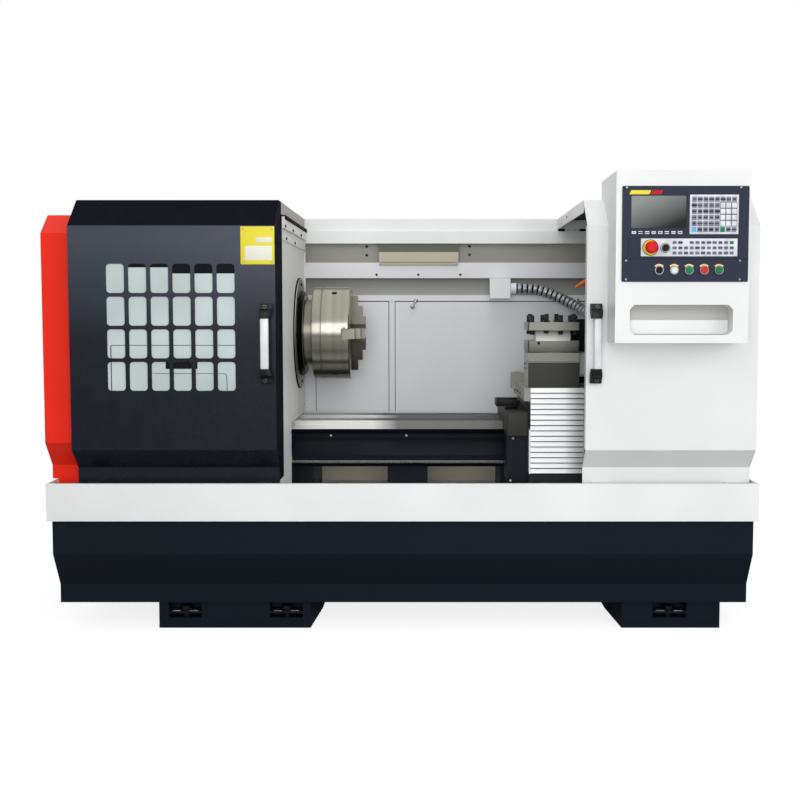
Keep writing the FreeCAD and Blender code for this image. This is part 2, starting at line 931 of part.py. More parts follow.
def edge_fold_outline(width):
    """A narrow fold along the flat front of a hood."""
    front = dim.hood_front
    return [
        (front, dim.hood_fold),
        (front, dim.hood_low_fold),
        (front + width, dim.hood_low_fold),
        (front + width, dim.hood_fold),
    ]


def rail_shoe(name, middle):
    """A grooved block under the hood's foot, astride the rail in the tray."""
    foot = dim.hood_front + dim.hood_tuck
    block = box(name + "_block", (middle - 30, middle + 30), (foot - 12, foot + 10), (495, dim.hood_foot + 6))
    groove = box(
        name + "_groove",
        (middle - 31, middle + 31),
        (RAIL_FRONT - 0.5, RAIL_BACK + 0.5),
        (494, RAIL_TOP + 0.3),
    )
    return cut(name, block, [groove])


def beam_shoe(name, middle):
    """A block on the roof's rear flange that slides on the beam's ledge."""
    back = dim.hood_back
    return box(name, (middle - 30, middle + 30), (back - 11, back), (BEAM_LEDGE + 0.3, BEAM_LEDGE + 40))


def roof_sheets(tag, left, right, front, flange_right):
    """The roof of a hood with its hanging edges and the rear flange, as one fold."""
    metal = dim.sheet_metal
    back = dim.hood_back
    low = dim.hood_roof - 43
    plates = [box(tag + "_roof_plate", (left, right), (front, back), (dim.hood_roof - metal, dim.hood_roof))]
    plates.append(box(tag + "_rear_flange", (left, right), (back - metal, back), (low, dim.hood_roof)))
    plates.append(box(tag + "_left_flange", (left, left + metal), (front, back), (low, dim.hood_roof)))
    if flange_right:
        start = dim.hood_front + STILE_DEPTH
        plates.append(box(tag + "_right_flange", (right - metal, right), (start, back), (low, dim.hood_roof)))
    for i, middle in enumerate((left + 60, right - 60)):
        plates.append(beam_shoe("%s_beam_shoe_%d" % (tag, i), middle))
    return plates


def left_door_shell():
    """The black folded front with its window grid, the deep right stile and the foot shoes."""
    left = dim.left_hood_left
    right = dim.left_hood_right
    metal = dim.sheet_metal
    owner = extrusion("left_front", "YZ", left, right - left, folded(hood_line(), metal))
    drawing = sketch(owner, "window_column", "XZ", -1 * dim.hood_front)
    for row in range(WINDOW_ROWS):
        high = WINDOW_TOP - row * WINDOW_DOWN
        rounded_rectangle(drawing, WINDOW_LEFT, WINDOW_LEFT + WINDOW_WIDTH, high - WINDOW_HEIGHT, high, 12)
    column = pocket(owner, "window_cut", drawing, 10)
    grid = owner.newObject("PartDesign::LinearPattern", "window_grid")
    grid.Originals = [column]
    grid.Direction = (drawing, ["H_Axis"])
    grid.Length = WINDOW_ACROSS * (WINDOW_COLUMNS - 1)
    grid.Occurrences = WINDOW_COLUMNS
    owner.Tip = grid
    doc.recompute()
    stile = extrusion("left_stile", "YZ", right - metal, metal, stile_outline(STILE_DEPTH))
    fold = extrusion("left_edge_fold", "YZ", left, metal, edge_fold_outline(36))
    slope_end = dim.hood_front + dim.hood_slope
    lap = box(
        "left_roof_lap",
        (left + 5, right - 10),
        (slope_end - 4, slope_end + 22),
        (dim.hood_roof - 2 * metal, dim.hood_roof - metal),
    )
    shoes = [rail_shoe("left_shoe_%d" % i, middle) for i, middle in enumerate((left + 60, right - 60))]
    return node(fuse("left_door_fuse", [owner, stile, fold, lap] + shoes), "left_door_shell")


def left_door_roof():
    """The white roof of the left hood."""
    left = dim.left_hood_left
    right = dim.left_hood_right - dim.sheet_metal
    front = dim.hood_front + dim.hood_slope + 2
    plates = roof_sheets("left", left, right, front, True)
    return node(fuse("left_roof_fuse", plates), "left_door_roof")


def left_door_window():
    """The pane behind the window grid, and its seat on the back of the sheet."""
    back_of_sheet = dim.hood_front + dim.sheet_metal
    right = WINDOW_LEFT + WINDOW_ACROSS * (WINDOW_COLUMNS - 1) + WINDOW_WIDTH
    low = WINDOW_TOP - WINDOW_DOWN * (WINDOW_ROWS - 1) - WINDOW_HEIGHT
    pane = box(
        "left_pane",
        (WINDOW_LEFT - 20, right + 20),
        (back_of_sheet, back_of_sheet + 6),
        (low - 20, WINDOW_TOP + 20),
    )
    return node(round_off("left_pane_rounded", pane, 15, runs_along("y")), "left_door_window")


def right_door_shell():
    """The white right hood: front, slope, tuck, roof and edge folds in one."""
    left = dim.right_hood_left
    right = dim.right_hood_right
    metal = dim.sheet_metal
    front = extrusion("right_front", "YZ", left, right - left, folded(hood_line(), metal))
    folds = [
        extrusion("right_near_fold", "YZ", left, metal, edge_fold_outline(40)),
        extrusion("right_far_fold", "YZ", right - metal, metal, edge_fold_outline(40)),
    ]
    shoes = [rail_shoe("right_shoe_%d" % i, middle) for i, middle in enumerate((left + 60, right - 60))]
    plates = roof_sheets("right", left, right, dim.hood_front + dim.hood_slope, False)
    return node(fuse("right_door_fuse", [front] + folds + shoes + plates), "right_door_shell")


HANDLE_TOP = 1145
HANDLE_LOW = 872
HANDLE_END = 52
HANDLE_REACH = 46


def handle_ends(side, left, right, grip_left, grip_right):
    """The two black end blocks of a pull handle; each has a screw ear and a nose that takes the grip."""
    front = dim.hood_front
    ends = []
    heights = ((HANDLE_LOW, HANDLE_LOW + HANDLE_END), (HANDLE_TOP - HANDLE_END, HANDLE_TOP))
    for i, (low, high) in enumerate(heights):
        tag = "%s_handle_end_%d" % (side, i)
        ear_low, ear_high = (low, low + 34) if i == 0 else (high - 34, high)
        ear = box(tag + "_ear", (left, right), (front - 26, front), (ear_low, ear_high))
        nose = box(tag + "_nose", (grip_left - 2, grip_right + 2), (front - HANDLE_REACH, front), (low, high))
        rounded = round_off(tag + "_rounded", nose, 7, runs_along("x"))
        ends.append(fuse(tag, [ear, rounded]))
    return node(group(side + "_handle_group", ends), side + "_handle_ends")


def handle_grip(side, left, right):
    """The metal bar between the end blocks."""
    front = dim.hood_front
    bar = box(
        side + "_grip_bar",
        (left, right),
        (front - HANDLE_REACH + 2, front - HANDLE_REACH + 20),
        (HANDLE_LOW + HANDLE_END, HANDLE_TOP - HANDLE_END),
    )
    return node(round_off(side + "_grip_rounded", bar, 6, runs_along("z")), side + "_handle_grip")


# ---------------------------------------------------------------------------
# Control box
# ---------------------------------------------------------------------------

PANEL_LEFT = 721
PANEL_RIGHT = 1129
PANEL_LOW = 1212
PANEL_HIGH = 1519
PANEL_THICK = 4
SCREEN = (750, 927, 1384, 1488)
BUTTON_X = [841.8, 890, 938.4, 986.8, 1035]
BUTTON_Z = 1249.5
BUTTON_RADIUS = 11
STOP_AT = (813, 1322)
KNOB_AT = (861, 1321)


def control_box():
    """The cabinet on the right hood: it sits on the slope and the roof, and has a pocket for papers."""
    front = dim.hood_front
    profile = [
        (dim.box_front, dim.box_low),
        (front, dim.box_low),
        (front, dim.hood_fold),
        (front + dim.hood_slope, dim.hood_roof),
        (front + 165, dim.hood_roof),
        (front + 165, dim.box_top),
        (dim.box_front, dim.box_top),
    ]
    owner = extrusion("control_box_body", "YZ", dim.box_left, dim.box_right - dim.box_left, profile)
    left = 750
    right = 1084
    low = 1041
    high = 1138
    nip = 15
    slot = [
        (left + nip, low),
        (right - nip, low),
        (right, low + nip),
        (right, high - nip),
        (right - nip, high),
        (left + nip, high),
        (left, high - nip),
        (left, low + nip),
    ]
    drawing = sketch(owner, "paper_pocket_outline", "XZ", -1 * dim.box_front)
    outline(drawing, slot)
    pocket(owner, "paper_pocket", drawing, 70)
    return node(owner, "control_box")


def control_panel():
    """The slate front plate, with a recess that takes the screen."""
    front = dim.box_front
    owner = body("control_panel_body")
    drawing = sketch(owner, "control_panel_outline", "XZ", -1 * front)
    rounded_rectangle(drawing, PANEL_LEFT, PANEL_RIGHT, PANEL_LOW, PANEL_HIGH, 5)
    pad(owner, "control_panel_pad", drawing, PANEL_THICK)
    doc.recompute()
    opening = sketch(owner, "screen_opening", "XZ", -1 * front + PANEL_THICK)
    rounded_rectangle(opening, *SCREEN, 3)
    pocket(owner, "screen_pocket", opening, 2.5)
    return node(owner, "control_panel")


def screen():
    """The display in the panel's recess."""
    left, right, low, high = SCREEN
    recess = dim.box_front - PANEL_THICK + 2.5
    pane = box("screen_pane", (left + 0.4, right - 0.4), (recess - 1.5, recess), (low + 0.4, high - 0.4))
    return node(round_off("screen_rounded", pane, 2.5, runs_along("y")), "screen")


def collar(name, x, z, outer, inner, height):
    """A bezel ring on the panel."""
    face = dim.box_front - PANEL_THICK
    ring = cylinder(name + "_outer", "y", (x, face - height, z), outer, height)
    hole = cylinder(name + "_hole", "y", (x, face - height - 1, z), inner, height + 2)
    return cut(name, ring, [hole])


def button_bezels():
    """The bezels of the five push buttons and the selector, and the stop button's collar."""
    inner = BUTTON_RADIUS + 0.4
    rings = [collar("bezel_%d" % i, x, BUTTON_Z, 14.5, inner, 6) for i, x in enumerate(BUTTON_X)]
    rings.append(collar("stop_collar", *STOP_AT, 17, 12.4, 10))
    rings.append(collar("knob_collar", *KNOB_AT, 15, 11.4, 5))
    return node(group("bezel_group", rings), "button_bezels")


def turned_on_panel(label, x, z, points):
    """A body turned about a line square to the panel, from (radius, y) points off the panel's face."""
    owner = body(label + "_body")
    drawing = sketch(owner, label + "_profile", "XY", 0)
    outline(drawing, points)
    feature = owner.newObject("PartDesign::Revolution", label + "_turn")
    feature.Profile = drawing
    feature.ReferenceAxis = (drawing, ["V_Axis"])
    feature.Angle = 360
    place(owner, x, dim.box_front - PANEL_THICK, z)
    doc.recompute()
    return node(owner, label)


def push_button(index, x):
    """One push button cap, which can travel 3 mm before it meets the panel."""
    rim = BUTTON_RADIUS - 1.5
    points = [(0, -3.5), (BUTTON_RADIUS, -3.5), (BUTTON_RADIUS, -8.5), (rim, -9.5), (0, -9.5)]
    return turned_on_panel("push_button_%d" % index, x, BUTTON_Z, points)


def emergency_stop():
    """Mushroom head on a stem that slides in its collar."""
    points = [(0, -8), (12, -8), (12, -18), (20, -18), (20, -26), (14, -31), (0, -31)]
    return turned_on_panel("emergency_stop", *STOP_AT, points)


def selector_knob():
    """Round knob with a finger bar across it."""
    face = dim.box_front - PANEL_THICK
    x, z = KNOB_AT
    skirt = cylinder("knob_skirt", "y", (x, face - 12, z), 11, 11.5)
    bar = box("knob_bar", (x - 3.5, x + 3.5), (face - 20, face - 11), (z - 10.5, z + 10.5))
    return node(fuse("knob_fuse", [skirt, bar]), "selector_knob")


# ---------------------------------------------------------------------------
# Chuck
# ---------------------------------------------------------------------------

JAW_HALF = 20
JAW_SEAT = 30
JAW_ANGLES = (0, 120, 240)


def chuck_backplate():
    """The adapter between the spindle nose and the chuck."""
    back = -355
    points = [
        (back, dim.bore_radius),
        (back, dim.chuck_radius - 3),
        (back + 3, dim.chuck_radius),
        (dim.chuck_back - 3, dim.chuck_radius),
        (dim.chuck_back - 3, dim.chuck_radius - 4),
        (dim.chuck_back, dim.chuck_radius - 4),
        (dim.chuck_back, dim.bore_radius),
    ]
    return node(revolution("chuck_backplate_body", points, dim.axis_y, dim.axis_z), "chuck_backplate")


def chuck_body():
    """Turned body with a through hole, three T-slots for the jaws and three square key sockets."""
    back = dim.chuck_back
    face = dim.chuck_face
    radius = dim.chuck_radius
    points = [
        (back, 52),
        (back, radius - 2),
        (back + 2, radius),
        (face - 6, radius),
        (face - 3, radius - 1),
        (face, radius - 4),
        (face, 56),
        (face - 4, 52),
    ]
    owner = revolution("chuck_turned", points, dim.axis_y, dim.axis_z)
    cutters = []
    for i, degrees in enumerate(JAW_ANGLES):
        slot = radial_box("jaw_slot_%d" % i, degrees, (-JAW_SEAT, 1), (30, 190), JAW_HALF + 0.3)
        tee = radial_box("jaw_tee_%d" % i, degrees, (-22, -14), (30, 190), JAW_HALF + 5.3)
        key = radial_box("key_socket_%d" % i, degrees + 60, (-71, -52), (155, 190), 9.5)
        cutters += [slot, tee, key]
    for i in range(6):
        angle = math.radians(30 + 60 * i)
        centre = (face - 12, dim.axis_y + 128 * math.cos(angle), dim.axis_z + 128 * math.sin(angle))
        cutters.append(cylinder("chuck_screw_hole_%d" % i, "x", centre, 9, 13))
    return node(cut("chuck_cut", owner, cutters), "chuck_body")


def radial_box(name, degrees, along, radii, half_width):
    """A block that lies on a radius of the chuck; 0 degrees points at the operator."""
    block = doc.addObject("Part::Box", name)
    bind(block, "Length", along[1] - along[0])
    bind(block, "Width", radii[1] - radii[0])
    bind(block, "Height", 2 * half_width)
    turn = FreeCAD.Rotation(Vector(1, 0, 0), 180 + degrees)
    corner = turn.multVec(Vector(0, radii[0], -half_width))
    block.Placement = FreeCAD.Placement(Vector(0, 0, 0), turn)
    bind(block, "Placement.Base.x", dim.chuck_face + along[0])
    bind(block, "Placement.Base.y", dim.axis_y + corner.y)
    bind(block, "Placement.Base.z", dim.axis_z + corner.z)
    return block


def chuck_jaw(index, degrees):
    """A hardened jaw: T-shaped base in the slot, three steps outside it, and a pointed inner end."""
    foot = radial_box("jaw_%d_foot" % index, degrees, (-JAW_SEAT + 0.3, 0), (30, 162), JAW_HALF)
    tee = radial_box("jaw_%d_tee" % index, degrees, (-21.7, -14.3), (36, 162), JAW_HALF + 5)
    tall = radial_box("jaw_%d_tall" % index, degrees, (0, 55), (30, 66), JAW_HALF)
    middle = radial_box("jaw_%d_middle" % index, degrees, (0, 41), (66, 114), JAW_HALF)
    low = radial_box("jaw_%d_low" % index, degrees, (0, 21), (114, 162), JAW_HALF)
    solid = fuse("jaw_%d_fuse" % index, [foot, tee, tall, middle, low])
    cheeks = []
    for side in (-1, 1):
        cheek = doc.addObject("Part::Box", "jaw_%d_cheek_%d" % (index, side + 1))
        bind(cheek, "Length", 100)
        bind(cheek, "Width", 60)
        bind(cheek, "Height", 40)
        spin = FreeCAD.Rotation(Vector(1, 0, 0), 180 + degrees)
        lean = FreeCAD.Rotation(Vector(1, 0, 0), 30 * side)
        corner = Vector(0, -60, 0) if side > 0 else Vector(0, -60, -40)
        tip = spin.multVec(Vector(0, 26, 0)) + (spin * lean).multVec(corner)
        cheek.Placement = FreeCAD.Placement(Vector(0, 0, 0), spin * lean)
        bind(cheek, "Placement.Base.x", dim.chuck_face - 40)
        bind(cheek, "Placement.Base.y", dim.axis_y + tip.y)
        bind(cheek, "Placement.Base.z", dim.axis_z + tip.z)
        cheeks.append(cheek)
    return node(cut("jaw_%d_cut" % index, solid, cheeks), "chuck_jaw_%d" % index)


# ---------------------------------------------------------------------------
# Carriage
# ---------------------------------------------------------------------------


def saddle():
    """The casting on the ways: two wings, the cross bridge with its dovetail, and a deep front edge."""
    left = dim.saddle_left
    right = dim.saddle_right
    low = dim.way_top + 0.3
    wing_top = 753
    wings = box("saddle_wings", (left, right), (dim.saddle_front, 415), (low, wing_top))
    front_edge = box("saddle_front_edge", (left, right), (dim.saddle_front, 54), (669, low + 1))
    notch = box("saddle_notch", (440, 665), (240, 416), (low - 1, wing_top + 1))
    plate = cut("saddle_plate", fuse("saddle_blank", [wings, front_edge]), [notch])
    bridge = extrusion(
        "saddle_bridge",
        "XZ",
        400,
        630,
        [(465, low), (640, low), (640, 775), (655, dim.saddle_top), (450, dim.saddle_top), (465, 775)],
    )
    return node(fuse("saddle_fuse", [plate, bridge]), "saddle")


def apron():
    """The navy box under the saddle's front edge, with the nut block that rides on the lead screw."""
    left = dim.saddle_left
    panel = box("apron_box", (left, dim.saddle_right), (dim.saddle_front, -60), (495, 669))
    bridge = box("apron_bridge", (470, 560), (-61, 8), (514, 536))
    block = box("apron_nut", (470, 560), (-44, 8), (514, 574))
    bore = cylinder("apron_bore", "x", (460, dim.screw_y, dim.screw_z), dim.screw_radius + 0.3, 110)
    return node(cut("apron_cut", fuse("apron_fuse", [panel, bridge, block]), [bore]), "apron")


GLAND_RADIUS = 23
SLAT_COUNT = 16
SLAT_TOP = 841
SLAT_LOW = 529


def slat_cover():
    """The slatted guard on the carriage's front: overlapping bars with a bead at each lower edge."""
    pitch = (SLAT_TOP - SLAT_LOW) / SLAT_COUNT
    front = -239
    points = [(front + 9, SLAT_LOW), (front + 9, SLAT_TOP), (front + 4, SLAT_TOP)]
    for i in range(SLAT_COUNT):
        high = SLAT_TOP - i * pitch
        low = high - pitch
        points += [(front + 3.5, high - 0.5), (front + 0.5, low + 2.5)]
        points += [(front + 0.5, low + 1), (front + 4, low + 0.5)]
    left = 466
    right = 658
    sheet = extrusion("slat_sheet", "YZ", left, right - left, points)
    frame_low = box("slat_foot", (left - 4, right + 4), (front + 8, dim.saddle_front), (497, SLAT_LOW + 6))
    sides = [
        box("slat_side_%d" % i, (x, x + 6), (front + 8, dim.saddle_front), (497, 690))
        for i, x in enumerate((left - 4, right - 2))
    ]
    return node(fuse("slat_fuse", [sheet, frame_low] + sides), "slat_cover")


def junction_box():
    """The white box that hangs from the duct; its slider runs in the duct's slot with the carriage."""
    back = dim.guard_back + BEAM_DEPTH
    case = box("junction_case", (349, 435), (410, 460), (1171, 1254))
    soft = round_off("junction_soft", case, 3, runs_along("z"))
    arm = box("junction_arm", (372, 412), (459, back - 9), (1214, DUCT_LOW - 1))
    neck = box("junction_neck", (372, 412), (back - 18, back - 12), (DUCT_LOW - 2, DUCT_LOW + 7))
    slider = box("junction_slider", (366, 418), (back - 25, back - 5), (DUCT_LOW + 3.3, DUCT_LOW + 9))
    gland = cylinder("junction_gland", "x", (434, 436, 1212), GLAND_RADIUS, 25)
    return node(fuse("junction_fuse", [soft, arm, neck, slider, gland]), "junction_box")


# ---------------------------------------------------------------------------
# Cross slide and turret
# ---------------------------------------------------------------------------


def cross_slide():
    """The long slide on the dovetail, wider at the rear where it carries the cable box."""
    low = dim.saddle_top + 0.3
    plate = box("slide_plate", (442, 663), (-229, 290), (low, dim.slide_top))
    lug = box("slide_lug", (660, 745), (15, 180), (low, dim.slide_top))
    rear_block = box("slide_rear_block", (428, 475), (150, 290), (812, 875))
    fixed = fuse("slide_blank", [plate, lug, rear_block])
    slots = []
    for i, x in enumerate((500, 600)):
        floor = dim.slide_top - 20
        slots.append(box("slide_slot_%d" % i, (x, x + 14), (10, 291), (floor, dim.slide_top + 1)))
        slots.append(box("slide_tee_%d" % i, (x - 6, x + 20), (10, 291), (floor, dim.slide_top - 11)))
    for i, y in enumerate((160, 225)):
        slots.append(box("slide_pocket_%d" % i, (434, 466), (y, y + 52), (858, 876)))
    return node(cut("slide_cut", fixed, slots), "cross_slide")


def turret_base():
    """The fixed housing under the turret: a dark body, a groove and a band, with the motor at its side."""
    half = dim.turret_width * 0.5
    x = (dim.turret_x - half, dim.turret_x + half)
    y = (dim.turret_y - half, dim.turret_y + half)
    lower = box("turret_base_body", x, y, (dim.slide_top, 931))
    waist = box(
        "turret_base_groove",
        (x[0] + 3, x[1] - 3),
        (y[0] + 3, y[1] - 3),
        (931, 935),
    )
    band = box("turret_base_band", x, y, (935, 967))
    seat = cylinder("turret_base_seat", "z", (dim.turret_x, dim.turret_y, 967), 88, 3)
    motor = round_off(
        "turret_motor_rounded",
        box("turret_motor", (x[1] - 1, x[1] + 58), (-160, -40), (878, 966)),
        14,
        runs_along("x"),
    )
    return node(fuse("turret_base_fuse", [lower, waist, band, seat, motor]), "turret_base")


BOLT_REACH = 78
BOLT_ROW = (-78, -26, 26)


def turret_head():
    """The four-way tool block: two flanges with a square core between them, and a locking cap."""
    half = dim.turret_width * 0.5 + 1
    low = dim.head_bottom
    owner = body("turret_head_body")
    place(owner, dim.turret_x, dim.turret_y, 0)
    flange = sketch(owner, "head_lower_flange", "XY", low)
    nip = 5
    size = float(half)
    corners = [
        (-size + nip, -size), (size - nip, -size), (size, -size + nip), (size, size - nip),
        (size - nip, size), (-size + nip, size), (-size, size - nip), (-size, -size + nip),
    ]
    outline(flange, corners)
    pad(owner, "head_block", flange, 1078 - low)
    doc.recompute()
    ring = sketch(owner, "head_slot_ring", "XY", 1048)
    core = 63
    reach = size + 5
    outline(ring, [(-reach, -reach), (reach, -reach), (reach, reach), (-reach, reach)])
    outline(ring, [(-core, -core), (core, -core), (core, core), (-core, core)])
    pocket(owner, "head_slots", ring, 1048 - 1010.5)
    bolt_hole = sketch(owner, "head_bolt_holes", "XY", 1078)
    for x in BOLT_ROW:
        circle(bolt_hole, x, -BOLT_REACH, 8.2)
    first = pocket(owner, "head_bolt_pocket", bolt_hole, 30.5)
    pattern = owner.newObject("PartDesign::PolarPattern", "head_bolt_pattern")
    pattern.Originals = [first]
    pattern.Axis = (bolt_hole, ["N_Axis"])
    pattern.Angle = 360
    pattern.Occurrences = 4
    owner.Tip = pattern
    doc.recompute()
    cap = cylinder("head_cap", "z", (dim.turret_x, dim.turret_y, 1077), 30, 8)
    return node(fuse("turret_head_fuse", [owner, cap]), "turret_head")


def clamp_bolts():
    """Square-headed bolts through the upper flange, which clamp the tools in the slots."""
    bolts = []
    count = 0
    for side in range(4):
        turn = FreeCAD.Rotation(Vector(0, 0, 1), 90 * side)
        for x in BOLT_ROW:
            spot = turn.multVec(Vector(x, -BOLT_REACH, 0))
            tag = "clamp_bolt_%d" % count
            centre = (dim.turret_x + spot.x, dim.turret_y + spot.y)
            lift = (0, 6, 2, 4)[(count + side) % 4]
            shank = cylinder(tag + "_shank", "z", (*centre, 1032 + lift), 8, 50)
            head = box(
                tag + "_head",
                (centre[0] - 7.5, centre[0] + 7.5),
                (centre[1] - 7.5, centre[1] + 7.5),
                (1081 + lift, 1102 + lift),
            )
            bolts.append(fuse(tag, [shank, head]))
            count += 1
    return node(group("clamp_bolt_group", bolts), "clamp_bolts")


GLAND_LENGTH = 22


def cable_box():
    """The black box behind the turret, on a column, with the slanted gland that takes the conduit."""
    column = box("cable_box_column", (668, 708), (78, 128), (dim.slide_top, 985))
    case = box("cable_box_case", (644, 735), (60, 155), (982, 1088))
    soft = round_off("cable_box_soft", case, 6, runs_along("z"))
    outlet = box("cable_box_outlet", (719, 768), (100, 202), (1068, 1118))
    gland = cylinder("cable_box_gland", "z", (0, 0, 0), GLAND_RADIUS, GLAND_LENGTH)
    end = ROUTE[-1]
    heading = (ROUTE[-1] - ROUTE[-2]).normalize()
    gland.Placement = FreeCAD.Placement(end, FreeCAD.Rotation(Vector(0, 0, 1), heading))
    for axis, value in zip("xyz", end):
        gland.setExpression("Placement.Base.%s" % axis, "%g" % value)
    return node(fuse("cable_box_fuse", [column, soft, outlet, gland]), "cable_box")


# ---------------------------------------------------------------------------
# Conduit and coolant pipe
# ---------------------------------------------------------------------------

# from the junction box on the rear wall to the cable box behind the turret
ROUTE = [
    Vector(459, 436, 1212),
    Vector(519, 436, 1212),
    Vector(579, 427.6, 1198.6),
    Vector(633.2, 407.9, 1175.9),
    Vector(678.3, 377.4, 1150.5),
    Vector(715.2, 336.4, 1127.1),
    Vector(742.2, 285.7, 1109.5),
    Vector(756.5, 232.6, 1098.8),
]
CONDUIT_OUTER = 22
CONDUIT_VALLEY = 19
CONDUIT_BORE = 15.5
RIB_PITCH = 22
RIB_SHAPE = [(0.06, CONDUIT_VALLEY), (0.2, CONDUIT_OUTER), (0.8, CONDUIT_OUTER), (0.94, CONDUIT_VALLEY)]


def path_edges(points):
    """Straight runs joined by tangent arcs, each as large as its two runs allow."""
    edges = []
    radii = []
    at = points[0]
    for i in range(1, len(points) - 1):
        before = points[i] - points[i - 1]
        after = points[i + 1] - points[i]
        turn = before.getAngle(after)
        reach = 0.45 * min(before.Length, after.Length)
        radii.append(reach / math.tan(turn / 2))
        first = points[i] - before.normalize() * reach
        last = points[i] + after.normalize() * reach
        inward = (first + last) * 0.5 - points[i]
        depth = radii[-1] / math.cos(turn / 2) - radii[-1]
        middle = points[i] + inward.normalize() * depth
        edges.append(Part.LineSegment(at, first).toShape())
        edges.append(Part.Arc(first, middle, last).toShape())
        at = last
    edges.append(Part.LineSegment(at, points[-1]).toShape())
    return edges, radii


def stations(edges, distances):
    """Points and headings at the given distances along the path."""
    found = []
    for distance in distances:
        left = distance
        for edge in edges:
            if left <= edge.Length + 1e-6 or edge is edges[-1]:
                break
            left -= edge.Length
        parameter = edge.getParameterByLength(min(left, edge.Length))
        found.append((edge.valueAt(parameter), edge.tangentAt(parameter)))
    return found


def ring(point, heading, radius):
    """A circle across the path, whose X axis stays level."""
    level = Vector(0, 0, 1).cross(heading).normalize()
    wire_circle = Part.Circle(point, heading, radius)
    wire_circle.XAxis = level
    return Part.Wire([wire_circle.toShape()])


def conduit():
    """Ribbed metal conduit: crests and valleys along the whole route, and an open bore."""
    edges, radii = path_edges(ROUTE)
    length = sum(edge.Length for edge in edges)
    print("conduit length %.1f, arc radii %s" % (length, ", ".join("%.0f" % r for r in radii)))
    straight = 2 * CONDUIT_OUTER
    ribs = int((length - 2 * straight) / RIB_PITCH)
    start = (length - ribs * RIB_PITCH) / 2
    sections = [(0, CONDUIT_VALLEY), (start - 1, CONDUIT_VALLEY)]
    for i in range(ribs):
        base = start + i * RIB_PITCH
        for share, radius in RIB_SHAPE:
            sections.append((base + share * RIB_PITCH, radius))
    sections += [(length - start + 1, CONDUIT_VALLEY), (length, CONDUIT_VALLEY)]
    spots = stations(edges, [distance for distance, radius in sections])
    outer = Part.makeLoft([ring(p, t, radius) for (p, t), (d, radius) in zip(spots, sections)], True, True)
    inner = Part.makeLoft([ring(p, t, CONDUIT_BORE) for p, t in spots], True, True)
    solid = outer.cut(inner)
    expected = math.pi * (CONDUIT_VALLEY ** 2 - CONDUIT_BORE ** 2) * length
    print("conduit volume %.0f, plain tube %.0f" % (solid.Volume, expected))
    feature = doc.addObject("Part::Feature", "conduit_feature")
    feature.Shape = solid
    feature.Placement = FreeCAD.Placement()
    return node(feature, "conduit")


PIPE_RADIUS = 7
PIPE_BEND = 22
PIPE_X = 728
PIPE_Y = 35
PIPE_BEND_Z = 1212.6
NOZZLE_TILT = 31.8


def coolant_pipe():
    """Bent steel coolant pipe from the slide's lug, ending in a tapered nozzle over the turret."""
    owner = body("coolant_pipe_body")
    place(owner, PIPE_X, PIPE_Y, 0)
    section = sketch(owner, "pipe_section", "XY", dim.slide_top)
    circle(section, 0, 0, PIPE_RADIUS)
    pad(owner, "pipe_stem", section, PIPE_BEND_Z - dim.slide_top)
    doc.recompute()
    end = sketch(owner, "pipe_bend_section", "XY", PIPE_BEND_Z)
    circle(end, 0, 0, PIPE_RADIUS)
    path = sketch(owner, "pipe_bend_path", "XZ")
    centre = Vector(-PIPE_BEND, PIPE_BEND_Z, 0)
    arc = Part.Circle(centre, Vector(0, 0, 1), PIPE_BEND)
    path.addGeometry(Part.ArcOfCircle(arc, 0, math.radians(90 + NOZZLE_TILT)), False)
    bend = owner.newObject("PartDesign::AdditivePipe", "pipe_bend")
    bend.Profile = end
    bend.Spine = (path, ["Edge1"])
    doc.recompute()
    angle = math.radians(90 + NOZZLE_TILT)
    tip_way = Vector(-math.sin(angle), 0, math.cos(angle))
    bend_end = Vector(math.cos(angle), 0, math.sin(angle)) * PIPE_BEND
    start = Vector(PIPE_X - PIPE_BEND, PIPE_Y, PIPE_BEND_Z) + bend_end - tip_way * 2
    nozzle = doc.addObject("Part::Cone", "nozzle_cone")
    bind(nozzle, "Radius1", 9.5)
    bind(nozzle, "Radius2", 4.5)
    bind(nozzle, "Height", 46)
    nozzle.Placement = FreeCAD.Placement(start, FreeCAD.Rotation(Vector(0, 0, 1), tip_way))
    return node(fuse("coolant_pipe_fuse", [owner, nozzle]), "coolant_pipe")


# ---------------------------------------------------------------------------
# Tailstock
# ---------------------------------------------------------------------------

TAIL_LEFT = 955
TAIL_RIGHT = 1140


def tailstock_body():
    """The casting on the ways: a broad foot, a waisted column and the barrel for the quill."""
    low = dim.way_top + 0.3
    foot = box("tail_foot", (TAIL_LEFT, TAIL_RIGHT), (75, 395), (low, 745))
    column = extrusion(
        "tail_column",
        "YZ",
        TAIL_LEFT + 12,
        TAIL_RIGHT - TAIL_LEFT - 24,
        [(105, 744), (165, 850), (175, 1031), (295, 1031), (305, 850), (365, 744)],
    )
    length = TAIL_RIGHT - TAIL_LEFT
    barrel = cylinder("tail_barrel", "x", (TAIL_LEFT - 12, dim.axis_y, dim.axis_z), 62, length + 12)
    bore = cylinder("tail_bore", "x", (TAIL_LEFT - 13, dim.axis_y, dim.axis_z), 36.05, length + 20)
    return node(cut("tail_cut", fuse("tail_fuse", [foot, column, barrel]), [bore]), "tailstock_body")


def tailstock_quill():
    """The quill with its live centre."""
    points = [
        (890, 0),
        (912, 12),
        (925, 12),
        (925, 36),
        (1110, 36),
        (1110, 0),
    ]
    return node(revolution("tail_quill_body", points, dim.axis_y, dim.axis_z), "tailstock_quill")


